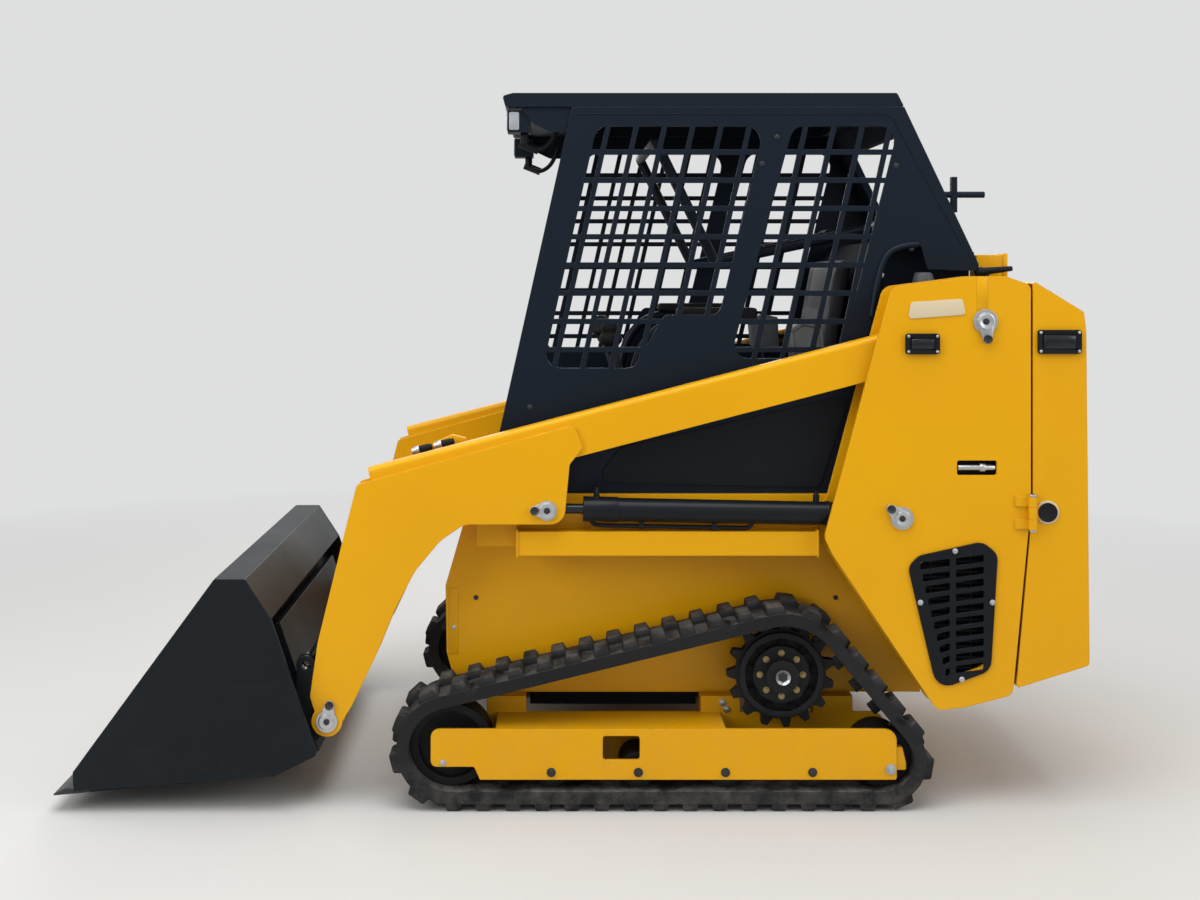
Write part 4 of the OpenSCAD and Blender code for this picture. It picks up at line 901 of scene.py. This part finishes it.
for label, side in sides.items():
    case = makeSideLamp("sideLamp" + label, towerLampLook, side, "chassis")
    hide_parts("tower_lamps")
    plate = addPlate(softOutline(reflectorLook["outline"], reflectorLook["corner"]),
                     side * reflectorLook["face"],
                     side * (reflectorLook["face"] + reflectorLook["depth"]))
    softEdges(plate, 0.0012, 3)
    finishPiece(plate, "reflector" + label, "creamReflector", "chassis")
    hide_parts("tower_lamps")
    case = makeSideLamp("tailLamp" + label, gateLampLook, side, "tailgate")
    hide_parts("tailgate_lamps")
print("lamps made")

# tower: grille bolts, screen behind the grille, recessed keeper rod, and a black plate of painted shade
# behind the screen
towerLook = {"grilleBolts": [(-1.032, 0.699), (-0.938, 0.560), (-1.133, 0.560), (-1.050, 0.352)],
             "bolt": 0.0052, "face": 0.581,
             "recess": ((-1.147, 0.903), (-1.039, 0.943)), "cupRim": 0.006, "cupFrom": 0.535, "cupTo": 0.5645,
             "cupDepth": 0.022,
             "rodZ": 0.923, "rodY": 0.5665, "rod": 0.0075, "rodIn": 0.004, "knob": 0.0115,
             "knobAt": (0.030, 0.046),
             "back": [(-0.900, 0.670), (-0.936, 0.700), (-1.107, 0.735), (-1.155, 0.695), (-1.162, 0.335),
                      (-0.990, 0.300)],
             "backFrom": 0.543, "backTo": 0.546}
screenLook = {"bars": 26, "first": 0.345, "step": 0.0145, "thick": 0.004, "ends": (-1.135, -0.935),
              "barY": (0.552, 0.556), "posts": (-1.13, -1.085, -1.03, -0.975, -0.94), "postY": (0.549, 0.553),
              "postZ": (0.34, 0.715)}


def makeScreen(look, side):
    bars = []
    for i in range(look["bars"]):
        z = look["first"] + i * look["step"]
        bars.append(addBlock((look["ends"][0], side * look["barY"][0], z),
                             (look["ends"][1], side * look["barY"][1], z + look["thick"])))
    for x in look["posts"]:
        bars.append(addBlock((x, side * look["postY"][0], look["postZ"][0]),
                             (x + look["thick"], side * look["postY"][1], look["postZ"][1])))
    return join(bars)


for label, side in sides.items():
    boltSet("grilleBolts" + label, [(x, side * towerLook["face"], z) for x, z in towerLook["grilleBolts"]],
            towerLook["bolt"], side, "zincSteel", "chassis")
    (x0, z0), (x1, z1) = towerLook["recess"]
    rim = towerLook["cupRim"]
    cup = addBlock((x0 - rim, side * towerLook["cupFrom"], z0 - rim),
                   (x1 + rim, side * towerLook["cupTo"], z1 + rim))
    recess(cup, side, rim, towerLook["cupDepth"])
    finishPiece(softEdges(cup, 0.001), "recessCup" + label, "panelBlack", "chassis")
    y, z = side * towerLook["rodY"], towerLook["rodZ"]
    near, far = towerLook["knobAt"]
    rod = join([addRound((x0 + towerLook["rodIn"], y, z), (x1 - towerLook["rodIn"], y, z), towerLook["rod"],
                         20,
                         0.0012),
                addRound((x0 + near, y, z), (x0 + far, y, z), towerLook["knob"], 20, 0.0015)])
    finishPiece(rod, "keeperRod" + label, "zincSteel", "chassis")
    finishPiece(makeScreen(screenLook, side), "grilleScreen" + label, "panelBlack", "chassis")
    # the black plate behind the screen is painted shade for the dark space inside the tower
    back = addPlate(softOutline(towerLook["back"], 0.03), side * towerLook["backFrom"],
                    side * towerLook["backTo"],
                    0.001)
    finishPiece(back, "grilleBack" + label, "paintedShadeBlack", "chassis")
print("towers dressed")

# tailgate: round plugs with their rings, and the caps of the hinge pin
gateLook = {"plug": (-1.283, 0.803), "plugRadius": 0.026, "plugHeight": 0.009, "plugInset": 0.006,
            "plugDepth": 0.003, "ringWidth": 0.006, "ringHeight": 0.004, "face": 0.575,
            "hinge": (-1.240, 0.5875), "pinCap": 0.0105, "pinEnds": ((0.752, 0.758), (0.846, 0.853))}
for label, side in sides.items():
    x, z = gateLook["plug"]
    face = gateLook["face"]
    ring = addRound((x, side * face, z), (x, side * (face + gateLook["ringHeight"]), z),
                    gateLook["plugRadius"] + gateLook["ringWidth"], 40, 0.001)
    finishPiece(ring, "plugRing" + label, "creamReflector", "tailgate")
    plug = addRound((x, side * face, z), (x, side * (face + gateLook["plugHeight"]), z),
                    gateLook["plugRadius"], 40)
    recess(plug, side, gateLook["plugInset"], gateLook["plugDepth"])
    finishPiece(softEdges(plug, 0.0015), "gatePlug" + label, "softRubber", "tailgate")
hx, hy = gateLook["hinge"]
pin = join([addRound((hx, hy, z0), (hx, hy, z1), gateLook["pinCap"], 20, 0.001) for z0,
            z1 in gateLook["pinEnds"]])
finishPiece(pin, "hingePinCaps", "zincSteel", "chassis")
print("tailgate dressed")

# seat: padded cushion and back, swelled by cloth from a slightly smaller body; seams are held
seatLook = {
    "seatCushion": {"node": "seat_cushion", "half": 0.222, "cap": 0.014, "seams": (-0.46, -0.60), "axis": 0,
                    "outline": [(-0.342, 0.980, 0.02), (-0.342, 1.060, 0.04), (-0.560, 1.048, 0.05),
                                (-0.724, 1.048, 0.01), (-0.724, 0.980, 0.02)]},
    "seatBack": {"node": "seat_back", "half": 0.222, "cap": 0.012, "seams": (1.20, 1.34), "axis": 2,
                 "outline": [(-0.716, 1.072, 0.01), (-0.792, 1.490, 0.03), (-0.832, 1.490, 0.02),
                             (-0.755, 1.072, 0.01)]},
}
padFit = {"voxel": 0.0075, "sideSeam": 0.150, "seamReach": 0.005, "pressure": 4.0, "frames": 20}


def makePad(name, look, fit=padFit):
    pad = addPlate(softOutline(look["outline"], 0.02), -look["half"], look["half"], 0.016, 3)
    applyModifier(pad, "REMESH", mode="VOXEL", voxel_size=fit["voxel"])
    start = [v.co.copy() for v in pad.data.vertices]
    held = [v.index for v in pad.data.vertices
            if any(abs(v.co[look["axis"]] - seam) < fit["seamReach"] for seam in look["seams"])
            or abs(abs(v.co.y) - fit["sideSeam"]) < fit["seamReach"]]
    pad.vertex_groups.new(name="seam").add(held, 1.0, "REPLACE")
    choose(pad)
    cloth = pad.modifiers.new("Swell", "CLOTH")
    cloth.settings.use_pressure = True
    cloth.settings.uniform_pressure_force = fit["pressure"]
    cloth.settings.effector_weights.gravity = 0.0
    cloth.settings.vertex_group_mass = "seam"
    cloth.point_cache.frame_start, cloth.point_cache.frame_end = 1, fit["frames"]
    for step in range(1, fit["frames"] + 1):
        bpy.context.scene.frame_set(step)
    bpy.ops.object.modifier_apply(modifier="Swell")
    for vertex, first in zip(pad.data.vertices, start):
        move = vertex.co - first
        if move.length > look["cap"]:
            vertex.co = first + move.normalized() * look["cap"]
    bpy.context.scene.frame_set(1)
    pad.vertex_groups.clear()
    applyModifier(pad, "SUBSURF", levels=1, render_levels=1)
    finishPiece(pad, name, "seatVinyl", "chassis", 60)
    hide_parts(look["node"])


for name, look in seatLook.items():
    makePad(name, look)
print("seat made")

# controls: console, boot, stem and a three-lobed grip on each side, with an arm rest and a grey switch box
controlLook = {"y": 0.340, "width": 0.10, "x": -0.105, "footX": 0.045,
               "console": [(-0.130, 0.930, 0.03), (-0.130, 1.020, 0.04), (-0.520, 1.040, 0.03),
                           (-0.520, 0.8405, 0.0), (-0.320, 0.8405, 0.0)],
               "boot": [(0.040, 1.012), (0.043, 1.030), (0.034, 1.046), (0.037, 1.058), (0.028, 1.074),
                        (0.031, 1.086), (0.022, 1.104), (0.024, 1.116), (0.016, 1.136)],
               "stemFoot": 1.130, "stemTop": 1.235, "stemTopX": 0.012, "stem": 0.011,
               "lobes": [(-0.006, 1.262, 0.034, 0.024), (-0.004, 1.292, 0.028, 0.020),
                         (-0.010, 1.238, 0.020, 0.022)],
               "lobeDepth": 0.9, "gripVoxel": 0.003}
armRestLook = {"tube": [(-0.165, 1.030), (-0.170, 1.120), (-0.185, 1.215), (-0.235, 1.285), (-0.300, 1.318),
                        (-0.420, 1.322), (-0.520, 1.318)], "radius": 0.015,
               "pad": [(-0.300, 1.326), (-0.300, 1.352), (-0.530, 1.352), (-0.530, 1.312)], "padHalf": 0.030}
switchLook = {"box": [(-0.620, 1.205), (-0.612, 1.290), (-0.650, 1.315), (-0.706, 1.305), (-0.712, 1.205)],
              "from": 0.355, "to": 0.420, "rim": 0.010, "rimDepth": 0.003,
              "post": [(-0.665, 1.210), (-0.665, 1.100), (-0.655, 1.020), (-0.640, 0.960), (-0.640, 0.8405)],
              "postY": 0.390, "radius": 0.012}
for label, side in sides.items():
    y = side * controlLook["y"]
    half = controlLook["width"] / 2
    console = addPlate(softOutline(controlLook["console"], 0.02), y - half, y + half, 0.012, 3)
    finishPiece(console, "console" + label, "panelBlack", "chassis")
    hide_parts("control_levers")
    x = controlLook["x"]
    footX = x - controlLook["footX"]
    rings = []
    for (r0, z0), (r1, z1) in zip(controlLook["boot"], controlLook["boot"][1:]):
        rings.append(addRound((footX, y, z0), (footX, y, z1), r0, 28, tip=r1))
    boot = faceOut(join(rings))
    finishPiece(boot, "leverBoot" + label, "softRubber", "chassis", 50)
    stem = addRound((footX, y, controlLook["stemFoot"]),
                    (x - controlLook["stemTopX"], y, controlLook["stemTop"]),
                    controlLook["stem"], 20, 0.002)
    finishPiece(stem, "leverStem" + label, "boltSteel", "chassis")
    lobes = []
    for dx, z, wide, tall in controlLook["lobes"]:
        deselect()
        bpy.ops.mesh.primitive_uv_sphere_add(segments=28, ring_count=16, radius=1, location=(x + dx, y, z),
                                             scale=(wide, wide * controlLook["lobeDepth"], tall))
        lobes.append(applyPlace(bpy.context.active_object))
    grip = join(lobes)
    applyModifier(grip, "REMESH", mode="VOXEL", voxel_size=controlLook["gripVoxel"])
    applyModifier(grip, "SMOOTH", factor=0.5, iterations=6)
    finishPiece(grip, "leverGrip" + label, "softRubber", "chassis", 60)
    rest = addPipe([(px, y, pz) for px, pz in armRestLook["tube"]], armRestLook["radius"], 16)
    half = armRestLook["padHalf"]
    pad = addPlate(softOutline(armRestLook["pad"], 0.012), y - half, y + half, 0.010, 3)
    finishPiece(rest, "armRestTube" + label, "cabBlack", "chassis", 60)
    finishPiece(pad, "armRestPad" + label, "softRubber", "chassis", 50)
    box = addPlate(softOutline(switchLook["box"], 0.006), side * switchLook["from"], side * switchLook["to"],
                   0.004, 2)
    recess(box, side, switchLook["rim"], switchLook["rimDepth"])
    finishPiece(box, "switchBox" + label, "boxGrey", "chassis")
    leg = addPipe([(px, side * switchLook["postY"], pz) for px, pz in switchLook["post"]],
                  switchLook["radius"], 12)
    finishPiece(leg, "switchPost" + label, "cabBlack", "chassis", 60)
print("controls made")

# cab: arch lip over the hood, screws, work lamps with their clamps, and seams along the roof
cabLook = {"lip": [(-0.836, 1.330), (-0.846, 1.400), (-0.860, 1.462), (-0.876, 1.502), (-0.904, 1.522),
                   (-0.940, 1.530), (-0.968, 1.5305)], "lipRadius": 0.009, "lipY": 0.4515,
           "screws": [(-0.572, 1.832), (-0.530, 1.757), (-0.905, 1.752), (0.120, 1.076), (-0.948, 1.520)],
           "screw": 0.0052, "screwY": 0.450,
           "silver": [(-0.874, 1.446), (-0.872, 1.478)], "silverScrew": 0.006, "silverY": 0.4005,
           "seam": [(0.000, 1.896), (-0.870, 1.896), (-0.895, 1.884), (-1.085, 1.535)], "seamY": 0.4503,
           "seamRadius": 0.0016}
workLook = {"y": 0.404, "glass": ((0.1815, 1.853), (0.1855, 1.905)), "glassHalf": 0.026,
            "rimX": (0.176, 0.1835), "rimZ": (1.8475, 1.9075), "rimHalf": 0.0305, "rimDepth": 0.005,
            "window": ((0.150, 1.853), (0.178, 1.903)), "windowFrom": 0.4355, "windowTo": 0.4375,
            "neck": ((0.135, 1.846), (0.135, 1.815)), "neckRadius": 0.012,
            "barrel": ((0.150, 1.822), (0.095, 1.800)), "barrelIn": 0.02, "barrelRadius": 0.013,
            "cable": [(0.135, 0.0, 1.818), (0.110, 0.01, 1.795), (0.075, 0.01, 1.800), (0.048, 0.012, 1.835),
                      (0.035, 0.012, 1.880)], "cableRadius": 0.007}
for label, side in sides.items():
    lip = addPipe([(x, side * cabLook["lipY"], z) for x, z in cabLook["lip"]], cabLook["lipRadius"], 12)
    finishPiece(lip, "archLip" + label, "cabBlack", "chassis", 60)
    boltSet("cabScrews" + label, [(x, side * cabLook["screwY"], z) for x, z in cabLook["screws"]],
            cabLook["screw"], side, "boltSteel", "chassis")
    boltSet("archScrews" + label, [(x, side * cabLook["silverY"], z) for x, z in cabLook["silver"]],
            cabLook["silverScrew"], side, "zincSteel", "chassis")
    y = side * workLook["y"]
    half = workLook["glassHalf"]
    glass = addPlate(roundedOutline(*workLook["glass"], 0.0015), y - half, y + half, 0.0008)
    finishPiece(glass, "workGlass" + label, "lampGlass", "chassis")
    (x0, x1), (z0, z1), half = workLook["rimX"], workLook["rimZ"], workLook["rimHalf"]
    rim = addBlock((x0, y - half, z0), (x1, y + half, z1))
    pick(rim, lambda f: f.normal.x > 0.9)
    bpy.ops.mesh.inset(thickness=workLook["rimDepth"])
    bpy.ops.transform.translate(value=(-workLook["rimDepth"], 0, 0))
    leaveEdit()
    finishPiece(softEdges(rim, 0.001), "workRim" + label, "greyPlastic", "chassis")
    window = addPlate(roundedOutline(*workLook["window"], 0.004), side * workLook["windowFrom"],
                      side * workLook["windowTo"], 0.0006)
    finishPiece(window, "workSide" + label, "lampGlass", "chassis")
    neck = [(x, y, z) for x, z in workLook["neck"]]
    barrel = [(x, y - workLook["barrelIn"], z) for x, z in workLook["barrel"]]
    cable = [(x, y - side * inward, z) for x, inward, z in workLook["cable"]]
    clamp = join([addRound(*neck, workLook["neckRadius"], 20, 0.002),
                  addRound(*barrel, workLook["barrelRadius"], 20, 0.002),
                  addPipe(cable, workLook["cableRadius"], 10)])
    finishPiece(clamp, "workClamp" + label, "panelBlack", "chassis", 50)
trim = []
for side in sides.values():
    trim.append(addPipe([(x, side * cabLook["seamY"], z) for x, z in cabLook["seam"]],
                        cabLook["seamRadius"], 6,
                        kind="POLY"))
finishPiece(join(trim), "cabSeams", "cabBlack", "chassis", 60)
print("cab dressed")

# lift cylinders: bands, ports and a feed pipe with clips; places are along the barrel and up from it
liftLook = {"base": (-0.889, 0.787), "turn": math.atan2(0.018, 0.9605), "y": 0.520,
            "bands": [(0.765, 0.8615, 0.0342), (0.152, 0.168, 0.0350), (0.186, 0.196, 0.0342)],
            "ports": (0.825, 0.222), "portNut": (0.028, 0.052, 0.009), "portEnd": (0.048, 0.060, 0.006),
            "pipe": [(0.838, -0.026), (0.838, -0.040), (0.826, -0.0445), (0.780, -0.0445), (0.600, -0.0445),
                     (0.430, -0.0445), (0.408, -0.0445), (0.398, -0.040), (0.396, -0.026)],
                     "pipeRadius": 0.006,
            "clips": (0.50, 0.70), "clipUp": -0.041, "clipHalf": (0.007, 0.009, 0.011)}


def onLift(along, up, y):
    a = liftLook["turn"]
    return (liftLook["base"][0] + along * math.cos(a) - up * math.sin(a), y,
            liftLook["base"][1] + along * math.sin(a) + up * math.cos(a))


for label, side in sides.items():
    y = side * liftLook["y"]
    bands = []
    for first, last, r in liftLook["bands"]:
        bands.append(addRound(onLift(first, 0, y), onLift(last, 0, y), r, 40, 0.0012))
    for along in liftLook["ports"]:
        for (first, last, r), count in ((liftLook["portNut"], 6), (liftLook["portEnd"], 16)):
            bands.append(addRound(onLift(along, first, y), onLift(along, last, y), r, count, 0.001))
    finishPiece(join(bands), "liftGland" + label, "cylinderBlack", "lift_barrels")
    pipe = addPipe([onLift(along, up, y) for along, up in liftLook["pipe"]], liftLook["pipeRadius"], 12)
    clips = []
    for along in liftLook["clips"]:
        middle = onLift(along, liftLook["clipUp"], y)
        clips.append(addBlock([v - d for v, d in zip(middle, liftLook["clipHalf"])],
                              [v + d for v, d in zip(middle, liftLook["clipHalf"])], 0.002))
    finishPiece(join([pipe] + clips), "liftPipe" + label, "cylinderBlack", "lift_barrels", 50)
print("cylinders dressed")

# left arm: auxiliary couplings and their bracket; stretches are shares of one coupling's run
couplingLook = {"plate": [(0.300, 0.880), (0.296, 0.988), (0.338, 0.998), (0.392, 0.974), (0.404, 0.940),
                          (0.404, 0.860)], "plateFrom": 0.425, "plateTo": 0.438,
                "foot": ((0.310, 0.430, 0.885), (0.394, 0.4795, 0.925)),
                "places": [(0.340, 0.979), (0.402, 0.964)], "y": 0.4505, "run": (0.034, 0, -0.0090)}
bracket = join([addPlate(softOutline(couplingLook["plate"], 0.008), couplingLook["plateFrom"],
                         couplingLook["plateTo"], 0.002),
                addBlock(*couplingLook["foot"], 0.004)])
finishPiece(bracket, "couplingBracket", "yellowPaint", "arms")
sleeves, plugs = [], []
ahead = Vector(couplingLook["run"])
for x, z in couplingLook["places"]:
    start = Vector((x, couplingLook["y"], z))
    sleeves.append(addRound(start + ahead * 0.75, start + ahead * 1.15, 0.0122, 28, 0.0016))
    sleeves.append(addRound(start + ahead * 1.1, start + ahead * 1.4, 0.0095, 24, 0.0012))
    plugs.append(addRound(start, start + ahead * 0.8, 0.0110, 6, 0.0012))
    plugs.append(addRound(start - ahead * 0.25, start + ahead * 0.05, 0.0090, 24, 0.0016))
finishPiece(join(sleeves), "couplingSleeves", "zincSteel", "arms")
finishPiece(join(plugs), "couplingPlugs", "softRubber", "arms")
print("arms dressed")

# tailgate: framed black screen behind the louvres, painted shade for the dark space behind the slots
gateScreenLook = {"top": (-1.3815, 1.190), "low": (-1.3860, 0.735), "half": 0.350, "depth": 0.0030,
                  "rail": 0.018}
(tx, tz), (lx, lz) = gateScreenLook["top"], gateScreenLook["low"]
half, depth, rail = gateScreenLook["half"], gateScreenLook["depth"], gateScreenLook["rail"]
outline = [(tx, tz), (lx, lz), (lx + depth, lz), (tx + depth, tz)]
frameOutline = [(tx + depth * 0.5, tz), (lx + depth * 0.5, lz), (lx + depth * 3, lz), (tx + depth * 3, tz)]
screen = [addPlate(outline, -half, half, 0.0005)]
for y0 in (-half, -rail / 2, half - rail):
    screen.append(addPlate(frameOutline, y0, y0 + rail, 0.0012))
finishPiece(join(screen), "gateScreen", "panelBlack", "tailgate")
print("tailgate screen made")

# hood: filler cap and stay on each side, and a latch box on the left, between tower and air box
hoodLook = {"y": 0.435, "capX": -0.985, "neck": (1.380, 1.424, 0.022), "cap": (1.422, 1.453, 0.032, 0.024),
            "stay": ((-1.130, 1.453), (-1.235, 1.464)), "stayRadius": (0.012, 0.007),
            "collar": ((-1.136, 1.4535), (-1.152, 1.4552)), "collarRadius": 0.0135,
            "post": ((-1.162, 1.403), (-1.162, 1.456)), "postRadius": 0.008}
latchLook = {"side": [(-1.146, 1.4055), (-1.146, 1.503), (-1.224, 1.503), (-1.232, 1.4055)], "from": 0.330,
             "to": 0.395, "lid": ((-1.234, 0.326, 1.440), (-1.222, 0.399, 1.507))}
for label, side in sides.items():
    x, y = hoodLook["capX"], side * hoodLook["y"]
    low, high, r = hoodLook["neck"]
    neck = addRound((x, y, low), (x, y, high), r, 28, 0.002)
    low, high, r, tip = hoodLook["cap"]
    cap = addRound((x, y, low), (x, y, high), r, 36, tip=tip)
    softEdges(cap, 0.006, 3)
    finishPiece(join([neck, cap]), "hoodCap" + label, "greyPlastic", "chassis", 50)
    stay, collar, post = [[(px, y, pz) for px, pz in hoodLook[key]] for key in ("stay", "collar", "post")]
    r, tip = hoodLook["stayRadius"]
    stay = join([addRound(*stay, r, 24, 0.003, tip=tip),
                 addRound(*collar, hoodLook["collarRadius"], 24, 0.002),
                 addRound(*post, hoodLook["postRadius"], 16, 0.001)])
    finishPiece(stay, "hoodStay" + label, "panelBlack", "chassis", 50)
latch = join([addPlate(softOutline(latchLook["side"], 0.004), latchLook["from"], latchLook["to"], 0.002),
              addBlock(*latchLook["lid"], 0.002)])
finishPiece(latch, "latchBox", "yellowPaint", "chassis")
print("hood dressed")

# chassis: step end plates, hull bolts and plugs, front flange, bracket bolts, strips by the arm pivots
hullLook = {"stepEnds": ((0.150, 0.156), (-0.674, -0.668)), "stepY": (0.468, 0.534), "stepZ": (0.672, 0.747),
            "bolts": [(0.273, 0.532), (-0.746, 0.532)], "boltY": 0.4002, "bolt": 0.0048,
            "plugs": [(0.335, 0.448)], "plugY": 0.4014, "plug": 0.0042,
            "flange": [(0.322, 0.372), (0.322, 0.560), (0.349, 0.560), (0.349, 0.372)],
            "flangeY": (0.3990, 0.4014),
            "bracket": [(-0.420, 0.247), (-0.432, 0.228)], "bracketY": 0.4402, "bracketBolt": 0.007,
            "strip": [(-1.092, 1.440), (-1.122, 1.440), (-1.122, 1.350), (-1.092, 1.350)],
            "stripY": (0.575, 0.5762)}
for label, side in sides.items():
    (y0, y1), (z0, z1) = hullLook["stepY"], hullLook["stepZ"]
    ends = [addBlock((x0, side * y0, z0), (x1, side * y1, z1), 0.0015) for x0, x1 in hullLook["stepEnds"]]
    finishPiece(join(ends), "stepEnds" + label, "yellowPaint", "chassis")
    boltSet("hullBolts" + label, [(x, side * hullLook["boltY"], z) for x, z in hullLook["bolts"]],
            hullLook["bolt"], side, "boltSteel", "chassis")
    boltSet("hullPlugs" + label, [(x, side * hullLook["plugY"], z) for x, z in hullLook["plugs"]],
            hullLook["plug"], side, "zincSteel", "chassis")
    y0, y1 = hullLook["flangeY"]
    flange = addPlate(softOutline(hullLook["flange"], 0.003), side * y0, side * y1, 0.0006)
    finishPiece(flange, "hullFlange" + label, "yellowPaint", "chassis")
    boltSet("bracketBolts" + label, [(x, side * hullLook["bracketY"], z) for x, z in hullLook["bracket"]],
            hullLook["bracketBolt"], side, "zincSteel", "chassis")
    y0, y1 = hullLook["stripY"]
    strip = addPlate(softOutline(hullLook["strip"], 0.002), side * y0, side * y1, 0.0005)
    finishPiece(strip, "pivotStrip" + label, "yellowPaint", "chassis")
print("chassis dressed")
